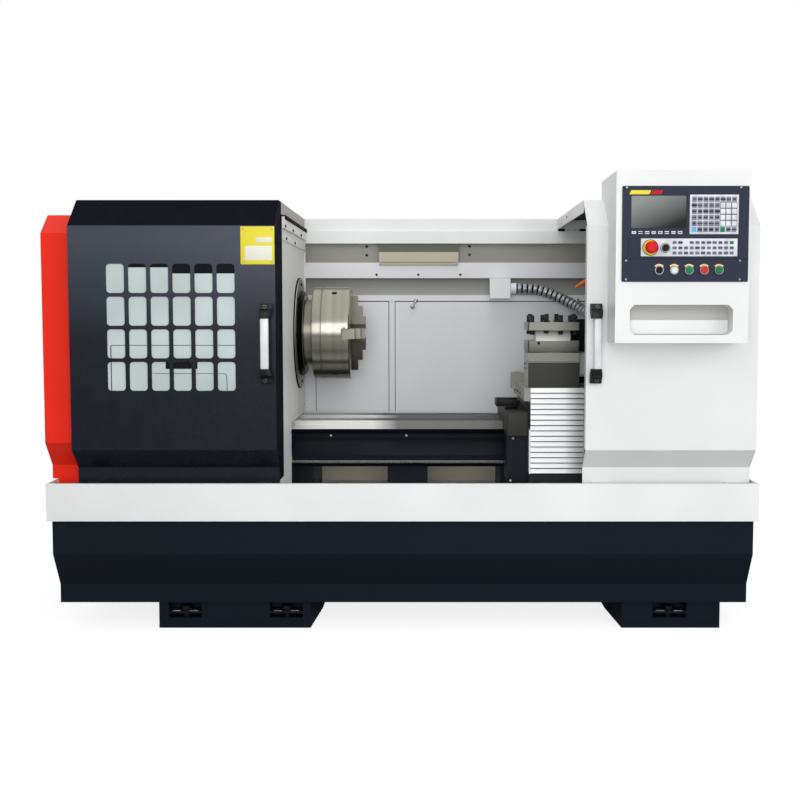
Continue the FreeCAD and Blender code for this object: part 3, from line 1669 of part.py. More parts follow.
def tailstock_handwheel():
    """Spoked handwheel with a hub that closes the barrel."""
    start = TAIL_RIGHT + 0.5
    near = start + 22
    far = start + 38
    section = [(near, 70), (near, 83), (near + 3, 86), (far - 3, 86), (far, 83), (far, 70)]
    rim = revolution("handwheel_rim", section, dim.axis_y, dim.axis_z)
    hub = cylinder("handwheel_hub", "x", (start, dim.axis_y, dim.axis_z), 26, 38)
    spokes = []
    for i in range(3):
        spoke = doc.addObject("Part::Cylinder", "handwheel_spoke_%d" % i)
        bind(spoke, "Radius", 7)
        bind(spoke, "Height", 62)
        turn = FreeCAD.Rotation(Vector(1, 0, 0), 120 * i)
        foot = turn.multVec(Vector(0, 0, 16))
        spoke.Placement = FreeCAD.Placement(Vector(0, 0, 0), turn)
        place(spoke, start + 30, dim.axis_y + foot.y, dim.axis_z + foot.z)
        spokes.append(spoke)
    return node(fuse("handwheel_fuse", [rim, hub] + spokes), "tailstock_handwheel")


# ---------------------------------------------------------------------------
# The whole machine
# ---------------------------------------------------------------------------


def build():
    pedestal("pedestal_left", -855, -320, LEFT_POCKETS)
    pedestal("pedestal_right", 780, 1127, RIGHT_POCKETS)
    levelling_bolts()
    base_cabinet()
    chip_tray()
    bed_casting()
    screw_cover()
    lead_screw()
    screw_bearings()
    headstock_casting()
    spindle()
    spindle_motor()
    drive_belt()
    headstock_guard()
    wall_flange()
    spindle_seal()
    left_end_cover()
    tailstock_guard()
    rear_beam()
    rear_panels()
    work_lamp()
    rear_cabinet()
    left_door_shell()
    left_door_roof()
    left_door_window()
    handle_ends("left", -470, -428, -469, -444)
    handle_grip("left", -467, -446)
    right_door_shell()
    handle_ends("right", 643, 682, 656, 681)
    handle_grip("right", 658, 679)
    control_box()
    control_panel()
    screen()
    button_bezels()
    for index, x in enumerate(BUTTON_X, start=1):
        push_button(index, x)
    emergency_stop()
    selector_knob()
    chuck_backplate()
    chuck_body()
    for index, degrees in enumerate(JAW_ANGLES, start=1):
        chuck_jaw(index, degrees)
    saddle()
    apron()
    slat_cover()
    junction_box()
    cross_slide()
    turret_base()
    turret_head()
    clamp_bolts()
    cable_box()
    conduit()
    coolant_pipe()
    tailstock_body()
    tailstock_quill()
    tailstock_handwheel()


def check_and_write():
    """Refuse failed objects and broken shapes, then write one file for each sub-part."""
    doc.recompute()
    for thing in doc.Objects:
        if "Invalid" in thing.State or "Error" in thing.State:
            raise RuntimeError("%s failed: %s" % (thing.Name, thing.State))
    for thing in nodes:
        if thing.Shape.isNull() or not thing.Shape.isValid():
            raise RuntimeError("%s has no valid shape" % thing.Label)
    for thing in nodes:
        thing.Shape.exportStep("parts/%s.step" % thing.Label)
    print("%d sub-parts written" % len(nodes))


build()
check_and_write()
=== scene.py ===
"""Looks of a CNC turning lathe: finishes, small fittings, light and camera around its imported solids."""

import json
import math

import bmesh
import bpy
from mathutils import Matrix, Vector

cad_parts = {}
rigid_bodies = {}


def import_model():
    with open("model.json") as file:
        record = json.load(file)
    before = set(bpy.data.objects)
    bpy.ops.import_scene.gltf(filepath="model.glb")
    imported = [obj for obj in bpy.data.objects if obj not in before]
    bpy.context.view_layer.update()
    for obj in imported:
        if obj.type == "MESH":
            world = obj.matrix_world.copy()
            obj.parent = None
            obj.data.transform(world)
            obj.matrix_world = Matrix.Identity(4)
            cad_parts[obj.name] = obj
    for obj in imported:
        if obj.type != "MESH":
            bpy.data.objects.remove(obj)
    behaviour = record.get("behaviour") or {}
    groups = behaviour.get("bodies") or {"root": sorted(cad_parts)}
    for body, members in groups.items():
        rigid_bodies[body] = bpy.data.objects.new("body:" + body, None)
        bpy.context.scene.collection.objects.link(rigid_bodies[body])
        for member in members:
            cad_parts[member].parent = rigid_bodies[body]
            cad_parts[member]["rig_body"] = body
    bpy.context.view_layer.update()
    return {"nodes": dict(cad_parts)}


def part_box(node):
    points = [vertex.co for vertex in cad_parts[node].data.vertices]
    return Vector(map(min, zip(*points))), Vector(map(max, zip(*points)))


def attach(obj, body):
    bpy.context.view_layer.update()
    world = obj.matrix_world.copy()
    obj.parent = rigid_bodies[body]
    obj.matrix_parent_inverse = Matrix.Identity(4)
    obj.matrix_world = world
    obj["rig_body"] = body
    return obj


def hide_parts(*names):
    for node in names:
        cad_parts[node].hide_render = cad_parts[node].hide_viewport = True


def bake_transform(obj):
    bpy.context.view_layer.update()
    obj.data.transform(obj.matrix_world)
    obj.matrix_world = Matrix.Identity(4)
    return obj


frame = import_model()

MM = 0.001

# Directions in the machine's own frame
LEFT = Vector((-1, 0, 0))
RIGHT = Vector((1, 0, 0))
FRONT = Vector((0, -1, 0))
BACK = Vector((0, 1, 0))
UP = Vector((0, 0, 1))

# Axes of the turning pieces, in millimetres
SPINDLE_AXIS = (0, 235, 1031)
SCREW_AXIS = (0, -20, 556)

# The cable hose's control points from the junction box to the turret's cable outlet, in metres
HOSE_ROUTE = [
    (0.459, 0.436, 1.212),
    (0.519, 0.436, 1.212),
    (0.579, 0.4276, 1.1986),
    (0.6332, 0.4079, 1.1759),
    (0.6783, 0.3774, 1.1505),
    (0.7152, 0.3364, 1.1271),
    (0.7422, 0.2857, 1.1095),
    (0.7565, 0.2326, 1.0988),
]

# Front faces that carry small fittings, and the left hood's right side, in millimetres
PANEL_FACE = -663
HOOD_FACE = -490
HOOD_SIDE = -419

# The photograph's camera: lens and sensor in millimetres, place in metres, tilt in degrees
SENSOR_WIDTH = 36
LENS = 54
CAMERA_PLACE = (0.1027, -4.55484, 1.11466)
CAMERA_TILT = 85.81
CAMERA_SHIFT = -0.0375

# Brightness of the floor's own colour, of its lift towards white, and of the sky on the machine
FLOOR_TONE = 0.4
FLOOR_LIFT = 0.82
SKY_LIGHT = 0.45
# Half of the floor's width, in metres
FLOOR_REACH = 30.0

# Soft boxes: place, target and size in metres, and power in watts
LAMPS = {
    "key": ((-1.4, -4.4, 3.4), (0, 0, 0.9), (3.0, 1.6), 15),
    "fill": ((3.4, -3.6, 1.7), (-0.4, 0, 0.8), (2.5, 2.5), 52),
    "front": ((0.1, -5.8, 2.5), (0.1, 0, 1.1), (3.6, 2.6), 75),
    "low": ((0.1, -5.6, 0.9), (0.1, 0, 0.9), (3.2, 1.0), 72),
    "top": ((0.1, -0.9, 4.2), (0.1, 0.1, 0.8), (2.4, 1.2), 30),
}
# The one soft box that shows as a highlight in glossy surfaces
MIRRORED_LAMP = "front"


def mm(*values):
    """A point or size written in millimetres, as metres."""
    return Vector(values) * MM


def full_turn(count):
    """Evenly spaced angles, once round."""
    return [2 * math.pi * i / count for i in range(count)]


def colour(code):
    """A screen colour such as "2b2e38" as linear red, green, blue and alpha."""
    parts = [int(code[i:i + 2], 16) / 255 for i in (0, 2, 4)]
    linear = [v / 12.92 if v <= 0.04045 else ((v + 0.055) / 1.055) ** 2.4 for v in parts]
    return (*linear, 1.0)


# ---------------------------------------------------------------- surfaces


def combine(tree, operation, first, second):
    """A Math node's result for a socket and either another socket or a number."""
    node = tree.nodes.new("ShaderNodeMath")
    node.operation = operation
    tree.links.new(first, node.inputs[0])
    if isinstance(second, float):
        node.inputs[1].default_value = second
    else:
        tree.links.new(second, node.inputs[1])
    return node.outputs["Value"]


class Surface:
    """A Principled material being built, with its patterns measured in the object's own metres."""

    def __init__(self, name, base, roughness, metallic=0.0, edge=1.0):
        self.material = bpy.data.materials.new(name)
        self.material.use_nodes = True
        self.tree = self.material.node_tree
        self.shader = self.tree.nodes["Principled BSDF"]
        self.set("Base Color", colour(base))
        self.set("Roughness", roughness)
        self.set("Metallic", metallic)
        self.place = self.add("ShaderNodeTexCoord").outputs["Object"]
        self.normal = None
        if edge:
            rounding = self.add("ShaderNodeBevel")
            rounding.samples = 4
            rounding.inputs["Radius"].default_value = edge * MM
            self.use_normal(rounding.outputs["Normal"])

    def add(self, kind):
        return self.tree.nodes.new(kind)

    def link(self, output, socket):
        self.tree.links.new(output, socket)

    def set(self, socket, value):
        self.shader.inputs[socket].default_value = value
        return self

    def use_normal(self, output):
        self.normal = output
        self.link(output, self.shader.inputs["Normal"])

    def noise(self, scale, detail=2.0, stretch=(1, 1, 1), place=None):
        """Noise with about `scale` grains per metre, stretched along chosen axes."""
        mapping = self.add("ShaderNodeMapping")
        mapping.inputs["Scale"].default_value = stretch
        self.link(place or self.place, mapping.inputs["Vector"])
        texture = self.add("ShaderNodeTexNoise")
        texture.inputs["Scale"].default_value = scale
        texture.inputs["Detail"].default_value = detail
        self.link(mapping.outputs["Vector"], texture.inputs["Vector"])
        return texture.outputs["Fac"]

    def vector(self, operation, value, constant=None):
        """A Vector Math node fed with a socket and, if given, a constant."""
        node = self.add("ShaderNodeVectorMath")
        node.operation = operation
        self.link(value, node.inputs[0])
        if constant is not None:
            node.inputs[1].default_value = constant
        return node.outputs

    def around(self, axis_point, direction):
        """A coordinate that is the same all round an axis: the way along it and the radius."""
        shifted = self.vector("SUBTRACT", self.place, mm(*axis_point))["Vector"]
        across = self.vector("CROSS_PRODUCT", shifted, direction)["Vector"]
        joined = self.add("ShaderNodeCombineXYZ")
        self.link(self.vector("DOT_PRODUCT", shifted, direction)["Value"], joined.inputs["X"])
        self.link(self.vector("LENGTH", across)["Value"], joined.inputs["Y"])
        return joined.outputs["Vector"]

    def part(self, axis):
        """One coordinate of the object's own place: X, Y or Z."""
        split = self.add("ShaderNodeSeparateXYZ")
        self.link(self.place, split.inputs["Vector"])
        return split.outputs[axis]

    def remap(self, value, start, stop, low=0.0, high=1.0):
        """`value` from start..stop turned into low..high and kept within it."""
        scaled = self.add("ShaderNodeMapRange")
        for socket, number in zip(("From Min", "From Max", "To Min", "To Max"), (start, stop, low, high)):
            scaled.inputs[socket].default_value = number
        self.link(value, scaled.inputs["Value"])
        return scaled.outputs["Result"]

    def spread(self, noise):
        """A noise pattern stretched to run from 0 to 1."""
        return self.remap(noise, 0.3, 0.7)

    def mixed(self, factor, first, second):
        """One colour where the factor is 0 and another where it is 1. Either may be a node's output."""
        blend = self.add("ShaderNodeMix")
        blend.data_type = "RGBA"
        self.link(factor, blend.inputs["Factor"])
        for socket, tone in ((blend.inputs[6], first), (blend.inputs[7], second)):
            if isinstance(tone, str):
                socket.default_value = colour(tone)
            else:
                self.link(tone, socket)
        return blend.outputs[2]

    def mottled(self, first, second, *pattern):
        """Two colours in soft patches that follow a noise of this scale, detail and stretch."""
        return self.mixed(self.spread(self.noise(*pattern)), first, second)

    def tint(self, factor, first, second):
        """Base colour that goes from one colour to another with a factor."""
        self.link(self.mixed(factor, first, second), self.shader.inputs["Base Color"])
        return self

    def gloss(self, value, low, high):
        """Roughness that follows a pattern between two values."""
        self.link(self.remap(value, 0.3, 0.7, low, high), self.shader.inputs["Roughness"])
        return self

    def relief(self, value, height, strength=1.0):
        """Raises the surface by up to `height` millimetres where the pattern is light."""
        bump = self.add("ShaderNodeBump")
        bump.inputs["Distance"].default_value = height * MM
        bump.inputs["Strength"].default_value = strength
        self.link(value, bump.inputs["Height"])
        if self.normal is not None:
            self.link(self.normal, bump.inputs["Normal"])
        self.use_normal(bump.outputs["Normal"])
        return self


def shade(code, factor):
    """A screen colour made darker or lighter by a factor."""
    parts = [min(255, round(int(code[i:i + 2], 16) * factor)) for i in (0, 2, 4)]
    return "".join("%02x" % part for part in parts)


def coated(name, base, roughness, edge, shine, tones, clouds, gloss, skin):
    """Paint or plastic: cloudy in tone, uneven in gloss, with a fine raised skin.

    Each pattern is a noise's grains per metre and detail. After it come the roughness factors, or the
    skin's height in millimetres and its strength.
    """
    surface = Surface(name, base, roughness, edge=edge)
    surface.tint(surface.spread(surface.noise(*clouds)), *[shade(base, tone) for tone in tones])
    surface.gloss(surface.noise(*gloss[:2]), roughness * gloss[2], roughness * gloss[3])
    surface.relief(surface.noise(*skin[:2]), *skin[2:])
    return surface.set("Specular IOR Level", shine)


def paint(name, base, roughness=0.35, edge=1.5, shine=0.4):
    """Powder coat on sheet metal: fine orange peel, and a faint cloudiness in tone and gloss."""
    mottle = 0.02
    return coated(name, base, roughness, edge, shine, tones=(1 - mottle, 1 + mottle / 3),
                  clouds=(3.0, 2.0), gloss=(18.0, 3.0, 0.9, 1.15), skin=(700.0, 1.0, 0.012, 0.3))


def cast(name, base, roughness=0.55, shine=0.3):
    """Painted iron casting: a coarser skin under thick paint."""
    return coated(name, base, roughness, 2.5, shine, tones=(0.93, 1.04),
                  clouds=(9.0, 3.0), gloss=(60.0, 3.0, 0.85, 1.15), skin=(220.0, 3.0, 0.12, 0.3))


def turned_steel(name, base, axis_point, direction, roughness=0.28):
    """Turned steel: fine rings all round the axis in tone, gloss and relief."""
    surface = Surface(name, base, roughness, metallic=1.0, edge=0.8)
    place = surface.around(axis_point, direction)
    rings = surface.noise(900.0, 1.0, place=place)
    bands = surface.noise(40.0, 1.0, place=place)
    surface.tint(surface.remap(bands, 0.35, 0.65), shade(base, 0.95), shade(base, 1.03))
    surface.gloss(rings, roughness * 0.85, roughness * 1.2)
    surface.relief(rings, 0.006, 0.5)
    return surface


def ground_steel(name, base, stretch, roughness=0.3, grain=500.0):
    """Ground or brushed metal with its lines along one axis."""
    surface = Surface(name, base, roughness, metallic=1.0, edge=0.6)
    lines = surface.noise(grain, 3.0, stretch)
    clouds = surface.noise(12.0, 2.0)
    surface.tint(surface.spread(clouds), shade(base, 0.94), shade(base, 1.03))
    surface.gloss(lines, roughness * 0.8, roughness * 1.25)
    surface.relief(lines, 0.01, 0.4)
    return surface


def moulded(name, base, roughness=0.4, grain=600.0, edge=0.8, shine=0.35):
    """Moulded plastic or rubber with a fine even grain."""
    return coated(name, base, roughness, edge, shine, tones=(0.92, 1.05),
                  clouds=(30.0, 2.0), gloss=(120.0, 2.0, 0.85, 1.2), skin=(grain, 1.0, 0.015, 0.4))


def slatted_steel(name, base):
    """Pale anodised slats, greyer towards their right end, over a dark frame below the lowest slat."""
    lowest_slat, greyer_from, greyer_to = 0.5285, 0.590, 0.640
    surface = ground_steel(name, base, (0.02, 1, 1), roughness=0.34, grain=900.0)
    surface.set("Metallic", 0.12)
    # The slats turn greyer towards their right end.
    greyer_end = surface.remap(surface.part("X"), greyer_from, greyer_to)
    pale = surface.mottled(shade(base, 0.97), base, 160.0, 2.0, (0.03, 1, 1))
    face = surface.mixed(greyer_end, pale, shade(base, 0.82))
    frame_below = surface.remap(surface.part("Z"), lowest_slat, lowest_slat + 0.0005, 1.0, 0.0)
    return surface.tint(frame_below, face, "14171c")


def ribbed_metal(name, base):
    """Galvanised strip of the cable hose, scuffed across its crests."""
    surface = Surface(name, base, 0.3, metallic=0.6, edge=0)
    scuffs = surface.noise(130.0, 2.0)
    surface.tint(surface.remap(scuffs, 0.35, 0.65), shade(base, 0.72), base)
    surface.gloss(surface.noise(140.0, 3.0), 0.25, 0.4)
    surface.relief(scuffs, 0.05, 0.4)
    return surface


def bed_iron(name):
    """Painted bed casting with bare ground slideways; a painted reflection makes them bright on the left and
    duller near the carriage.
    """
    ground_from, ridge_top = 0.6640, 0.6966
    surface = cast(name, "141920", roughness=0.42, shine=0.15)
    height, across = surface.part("Z"), surface.part("X")
    bare = surface.remap(height, ground_from - 0.0005, ground_from)
    painted = surface.mottled("11161d", "181e26", 9.0, 3.0)
    lines = surface.noise(500.0, 2.0, (0.01, 1, 1))
    # Painted reflection on the slideways' front face: bright on the left, duller to the right.
    face_reflection = surface.mixed(surface.remap(across, -0.12, -0.02), "f4f4ee", "7e7f7d")
    face = surface.mixed(surface.remap(lines, 0.35, 0.65, 0.0, 0.25), face_reflection, "6d6e6c")
    # Painted reflection on the slideways' top: pale on the left, dark to the right.
    upper = surface.mixed(surface.remap(across, -0.26, -0.08), "c4c5c1", "14161a")
    iron = surface.mixed(surface.remap(height, ridge_top, ridge_top + 0.0003), face, upper)
    surface.tint(bare, painted, iron)
    surface.link(surface.remap(bare, 0.0, 1.0, 0.0, 0.6), surface.shader.inputs["Metallic"])
    return surface


def hood_paint(name):
    """Charcoal powder coat, with a painted reflection that lightens its front towards the top, and painted
    shade that darkens the folded slope.
    """
    light_from, light_to, fold = 1.03, 1.36, 1.4050
    surface = paint(name, "12171f", roughness=0.26, shine=0.25)
    height = surface.part("Z")
    face = surface.mottled("11161e", "131922", 3.0, 2.0)
    # Painted reflection: the front lightens towards the top.
    front = surface.mixed(surface.remap(height, light_from, light_to), face, "3b404d")
    # Painted shade: above the fold the slope is nearly black.
    return surface.tint(surface.remap(height, fold, fold + 0.0015), front, "06080b")


def rear_sheet(name):
    """The rear wall: pale, with painted shade inside it, grey above the cable duct and grey darkening
    towards the duct below it, and beige under the bed.
    """
    bed_foot, panel_top, duct_low, duct_top = 0.585, 1.1852, 1.2550, 1.3202
    surface = paint(name, "d4d5d9", roughness=0.4)
    height = surface.part("Z")
    pale = surface.mottled("d6d7db", "dadbde", 3.0, 2.0)
    # Painted shade under the cable duct: grey that darkens upwards towards the duct.
    recess = surface.mixed(surface.remap(height, 1.186, 1.255), "9c9c99", "6f6e69")
    under_duct_shade = combine(surface.tree, "MULTIPLY",
                       surface.remap(height, duct_low, duct_low + 0.0005, 1.0, 0.0),
                       surface.remap(height, panel_top, panel_top + 0.0004))
    # Painted shade above the cable duct, under the beam.
    over_duct_shade = surface.remap(height, duct_top, duct_top + 0.0004)
    wall = surface.mixed(under_duct_shade, surface.mixed(over_duct_shade, pale, "96958e"), recess)
    inside = surface.mixed(surface.remap(height, bed_foot, bed_foot + 0.001, 1.0, 0.0), wall, "efe8d2")
    facing = surface.add("ShaderNodeSeparateXYZ")
    surface.link(surface.add("ShaderNodeNewGeometry").outputs["Normal"], facing.inputs["Vector"])
    return surface.tint(surface.remap(facing.outputs["Y"], -0.1, 0.1), inside, pale)


def turret_paint(name):
    """Turret base: grey metal on the band and the side, olive on the body, light grey on its motor."""
    band_from, motor_from, side_to = 0.9305, 0.6467, 0.4600
    surface = cast(name, "31322a", roughness=0.36, shine=0.35)
    across = surface.part("X")
    band = surface.remap(surface.part("Z"), band_from, band_from + 0.0005)
    motor = surface.remap(across, motor_from, motor_from + 0.0003)
    side = surface.remap(across, side_to - 0.0004, side_to, 1.0, 0.0)
    bright = surface.mottled("85867c", "93948a", 300.0, 2.0, (0.05, 0.05, 1))
    grey = surface.mixed(side, surface.mixed(band, "31322a", bright), "a2a49c")
    return surface.tint(motor, grey, "a9abb0")


def turret_steel(name):
    """Ground tool block: grey flanges, the lower one darker and darkened towards its bottom by painted
    shade, and a brighter core between them, darkened upwards by a painted shadow of the top flange.
    """
    core_low, core_high = 1.0100, 1.0480
    surface = ground_steel(name, "7d7e77", (0.05, 0.05, 1), roughness=0.34)
    height = surface.part("Z")
    # Painted shade: the lower flange darkens towards its bottom.
    plate = surface.mixed(surface.remap(height, 0.972, 1.008), "595a54", "7b7c75")
    bright = surface.mottled("aeaeab", "bcbcb9", 300.0, 2.0, (0.05, 0.05, 1))
    # Painted shadow of the top flange: the core darkens upwards.
    core = surface.mixed(surface.remap(height, 1.016, 1.040), bright, "767672")
    below = surface.mixed(surface.remap(height, core_low, core_low + 0.0004), plate, core)
    return surface.tint(surface.remap(height, core_high, core_high + 0.0004), below, "84857e")


def clear_pane(name):
    """Pale green tinted polycarbonate, a little misty with coolant."""
    surface = Surface(name, "c0d0cb", 0.12, edge=0)
    mist = surface.noise(5.0, 2.0)
    surface.tint(surface.spread(mist), "bccbc8", "cddad8")
    surface.gloss(mist, 0.06, 0.16)
    surface.relief(surface.noise(12.0, 1.0), 0.03, 0.2)
    surface.set("Alpha", 0.86)
    surface.set("Specular IOR Level", 0.3)
    surface.set("IOR", 1.5)
    return surface


def screen_glass(name):
    """Dark display glass with a painted reflection that makes it paler towards the upper left corner."""
    left, right, low, high = 0.750, 0.927, 1.384, 1.488
    surface = Surface(name, "3d4241", 0.2, edge=0.5)
    # Painted reflection: paler towards the left and the top.
    across = surface.remap(surface.part("X"), left, right, 0.62, 0.0)
    up = surface.remap(surface.part("Z"), low, high, -0.25, 0.62)
    surface.tint(combine(surface.tree, "ADD", across, up), "1c201f", "858a87")
    surface.gloss(surface.noise(40.0, 3.0), 0.16, 0.24)
    surface.relief(surface.noise(900.0, 1.0), 0.004, 0.2)
    return surface.set("Specular IOR Level", 0.12)


def nozzle_paint(name):
    """Steel coolant pipe with an orange nozzle at its open end."""
    nozzle_to = 0.697
    surface = moulded(name, "3a3c3c", roughness=0.4)
    pipe = surface.remap(surface.part("X"), nozzle_to - 0.001, nozzle_to)
    orange = surface.mottled("d85a12", "ee7426", 90.0, 2.0)
    return surface.tint(pipe, orange, "2c2e2f")


def lamp_casing(name):
    """Lamp with a pale beige diffuser under a grey-green reflector housing."""
    split = 1.3636
    surface = moulded(name, "c9bf9f", roughness=0.45, grain=300.0)
    upper = surface.remap(surface.part("Z"), split - 0.0006, split)
    diffuser = surface.mottled("b3ab97", "bcb4a2", 30.0, 2.0, (0.1, 1, 1))
    return surface.tint(upper, diffuser, "5c6158")


finishes = {
    "navy": paint("navy_paint", "131a23", roughness=0.38, shine=0.10),
    "pan": paint("pan_paint", "e6e8e8", roughness=0.35),
    "shell": paint("shell_paint", "e2e4e3", roughness=0.32),
    "charcoal": hood_paint("charcoal_paint_and_painted_light"),
    "hood_side": paint("hood_side_paint_and_slope_shade", "10131a", roughness=0.7, shine=0.02, edge=0.2),
    "red": paint("red_paint", "ee2c18", roughness=0.34, shine=0.2),
    "wall": paint("wall_paint", "e8e8e4", roughness=0.42),
    "rear": rear_sheet("rear_wall_paint_and_shade"),
    "casting": cast("casting_paint", "6c7072"),
    "bed": bed_iron("bed_iron"),
    "cover_dark": paint("cover_paint", "0d1219", roughness=0.36, shine=0.10),
    "bearing": cast("bearing_block_paint", "1c2128", shine=0.15),
    "screw_steel": turned_steel("screw_steel", "b9b9b4", SCREW_AXIS, RIGHT),
    "spindle_steel": turned_steel("spindle_steel", "98978d", SPINDLE_AXIS, RIGHT),
    "chuck_steel": turned_steel("chuck_steel", "a3a194", SPINDLE_AXIS, RIGHT,
                                roughness=0.2).set("Metallic", 0.93),
    "jaw_steel": ground_steel("jaw_steel", "8b897f", (1, 0.05, 0.05), roughness=0.32),
    "flange_steel": turned_steel("flange_steel", "b4b6b0", SPINDLE_AXIS, RIGHT, roughness=0.4),
    "slide_grey": cast("slide_paint", "92938c", roughness=0.42),
    "turret_grey": turret_steel("turret_steel"),
    "turret_body": turret_paint("turret_paint"),
    "bolt_black": moulded("black_oxide", "0c0d0f", roughness=0.42, shine=0.25),
    "zinc": turned_steel("zinc_plate", "c2c4c6", (0, 0, 0), UP, roughness=0.35),
    "rubber": moulded("black_rubber", "0a0b0c", roughness=0.7, grain=350.0, shine=0.06),
    "seal": turned_steel("seal_enamel", "0f1012", SPINDLE_AXIS, RIGHT, roughness=0.38),
    "motor": cast("motor_paint", "50565b"),
    "lamp": lamp_casing("lamp_casing"),
    "pane": clear_pane("window_pane"),
    "grip_black": moulded("black_nylon", "0c0d0f", roughness=0.42, shine=0.3),
    "grip_white": ground_steel("grip_aluminium", "dfe1e4", (1, 1, 0.03),
                               roughness=0.5).set("Metallic", 0.2),
    "slate": paint("panel_slate", "2c3040", roughness=0.45, edge=0.6, shine=0.15),
    "screen": screen_glass("screen_glass"),
    "bezel": turned_steel("bezel_chrome", "8d9093", (0, 0, 0), FRONT, roughness=0.22),
    "key_black": moulded("button_black", "050506", roughness=0.3, edge=0.4, shine=0.2),
    "key_white": moulded("button_white", "d6d8dc", roughness=0.3, edge=0.4),
    "key_green": moulded("button_green", "0c7a4c", roughness=0.3, edge=0.4, shine=0.2),
    "key_red": moulded("button_red", "cc2f14", roughness=0.3, edge=0.4, shine=0.2),
    "stop_red": moulded("stop_red", "c8121a", roughness=0.28, edge=0.5, shine=0.2),
    "apron": cast("apron_paint", "151b24", roughness=0.4, shine=0.14),
    "saddle": cast("saddle_paint", "363632", roughness=0.45, shine=0.15),
    "slats": slatted_steel("slat_steel", "f4f5f6"),
    "box_white": paint("box_paint", "e2e3e6", roughness=0.35, edge=1.0),
    "box_black": moulded("box_plastic", "0b0c0e", roughness=0.42, shine=0.2),
    "hose": ribbed_metal("hose_strip", "b6b8bb"),
    "pipe": nozzle_paint("coolant_pipe_paint"),
    "plate_yellow": paint("plate_yellow", "e2d63c", roughness=0.4, edge=0.4, shine=0.2),
    "plate_field": paint("plate_field", "e2e3d4", roughness=0.4, edge=0.2, shine=0.2),
    "strip_red": paint("strip_red", "b8141e", roughness=0.4, edge=0.3, shine=0.2),
    # Grey of painted shade for the left roof's end.
    "roof_end": paint("roof_end_painted_shade", "b2aca7", roughness=0.5, edge=0.2, shine=0.2),
    # Grey of painted shade for the back of the paper pocket.
    "pocket_back_shade": paint("pocket_back_shade", "b6b5b2", roughness=0.5, edge=0.2, shine=0.2),
    "gold": ground_steel("gold_plate", "e3c887", (1, 0.1, 0.1), roughness=0.35),
    "keypad": moulded("keypad_film", "d3d4dc", roughness=0.4, edge=0.5),
    "key_grey": moulded("key_grey", "7d7f8c", roughness=0.4, edge=0.3),
    "key_mid": moulded("key_gap", "5a5c68", roughness=0.5, edge=0),
    "key_dark": moulded("key_print", "26272e", roughness=0.5, edge=0, shine=0.2),
    "key_blue": moulded("key_blue", "58b0e0", roughness=0.4, edge=0.3),
    "groove": moulded("shadow_gap", "16181b", roughness=0.8, edge=0, shine=0.1),
    # Dark grey of painted shade under the right hood's roof.
    "underside_shade": moulded("roof_underside_painted_shade", "3a3d38", roughness=0.8, edge=0, shine=0.1),
}

NODE_FINISHES = {
    "navy": ["pedestal_left", "pedestal_right", "base_cabinet"],
    "pan": ["chip_tray"],
    "shell": ["right_door_shell", "control_box", "rear_beam", "tailstock_guard"],
    "charcoal": ["left_door_shell"],
    "red": ["left_end_cover"],
    "wall": ["headstock_guard", "rear_cabinet", "left_door_roof"],
    "rear": ["rear_panels"],
    "casting": ["headstock_casting", "tailstock_body"],
    "bed": ["bed_casting"],
    "cover_dark": ["screw_cover"],
    "bearing": ["screw_bearings"],
    "screw_steel": ["lead_screw"],
    "spindle_steel": ["spindle", "tailstock_quill"],
    "chuck_steel": ["chuck_backplate", "chuck_body"],
    "jaw_steel": ["chuck_jaw_1", "chuck_jaw_2", "chuck_jaw_3"],
    "flange_steel": ["wall_flange"],
    "slide_grey": ["cross_slide"],
    "saddle": ["saddle"],
    "apron": ["apron"],
    "turret_grey": ["turret_head"],
    "turret_body": ["turret_base"],
    "bolt_black": ["clamp_bolts", "levelling_bolts"],
    "rubber": ["drive_belt"],
    "seal": ["spindle_seal"],
    "motor": ["spindle_motor"],
    "lamp": ["work_lamp"],
    "pane": ["left_door_window"],
    "grip_black": ["left_handle_ends", "right_handle_ends", "selector_knob"],
    "grip_white": ["left_handle_grip", "right_handle_grip"],
    "slate": ["control_panel"],
    "screen": ["screen"],
    "bezel": ["button_bezels", "tailstock_handwheel"],
    "key_black": ["push_button_1"],
    "key_white": ["push_button_2"],
    "key_green": ["push_button_3", "push_button_5"],
    "key_red": ["push_button_4"],
    "stop_red": ["emergency_stop"],
    "slats": ["slat_cover"],
    "box_white": ["junction_box"],
    "box_black": ["cable_box"],
    "hose": ["conduit"],
    "pipe": ["coolant_pipe"],
}


def dress_nodes():
    """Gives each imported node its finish."""
    for finish, names in NODE_FINISHES.items():
        for name in names:
            mesh = frame["nodes"][name].data
            mesh.materials.clear()
            mesh.materials.append(finishes[finish].material)


# ---------------------------------------------------------------- forms


def add_block(shape, low, high, edge=0.4):
    """Adds a block between two corners in millimetres, with rounded edges."""
    low, high = mm(*low), mm(*high)
    corners = bmesh.ops.create_cube(shape, size=1.0)["verts"]
    bmesh.ops.scale(shape, vec=high - low, verts=corners)
    bmesh.ops.translate(shape, vec=(low + high) / 2, verts=corners)
    edges = list({e for corner in corners for e in corner.link_edges})
    if edge:
        bmesh.ops.bevel(shape, geom=edges, offset=edge * MM, segments=2, profile=0.5, affect="EDGES")


def add_band(shape, first, second):
    """Joins two rings of vertices, one for one, with a band of faces."""
    return [shape.faces.new(corners)
            for corners in zip(first, first[1:] + first[:1], second[1:] + second[:1], second)]


def add_rings(shape, rings):
    """Joins rings of vertices into one closed form and returns its bands of faces."""
    bands = [add_band(shape, first, second) for first, second in zip(rings, rings[1:])]
    shape.faces.new(list(reversed(rings[0])))
    shape.faces.new(rings[-1])
    return bands


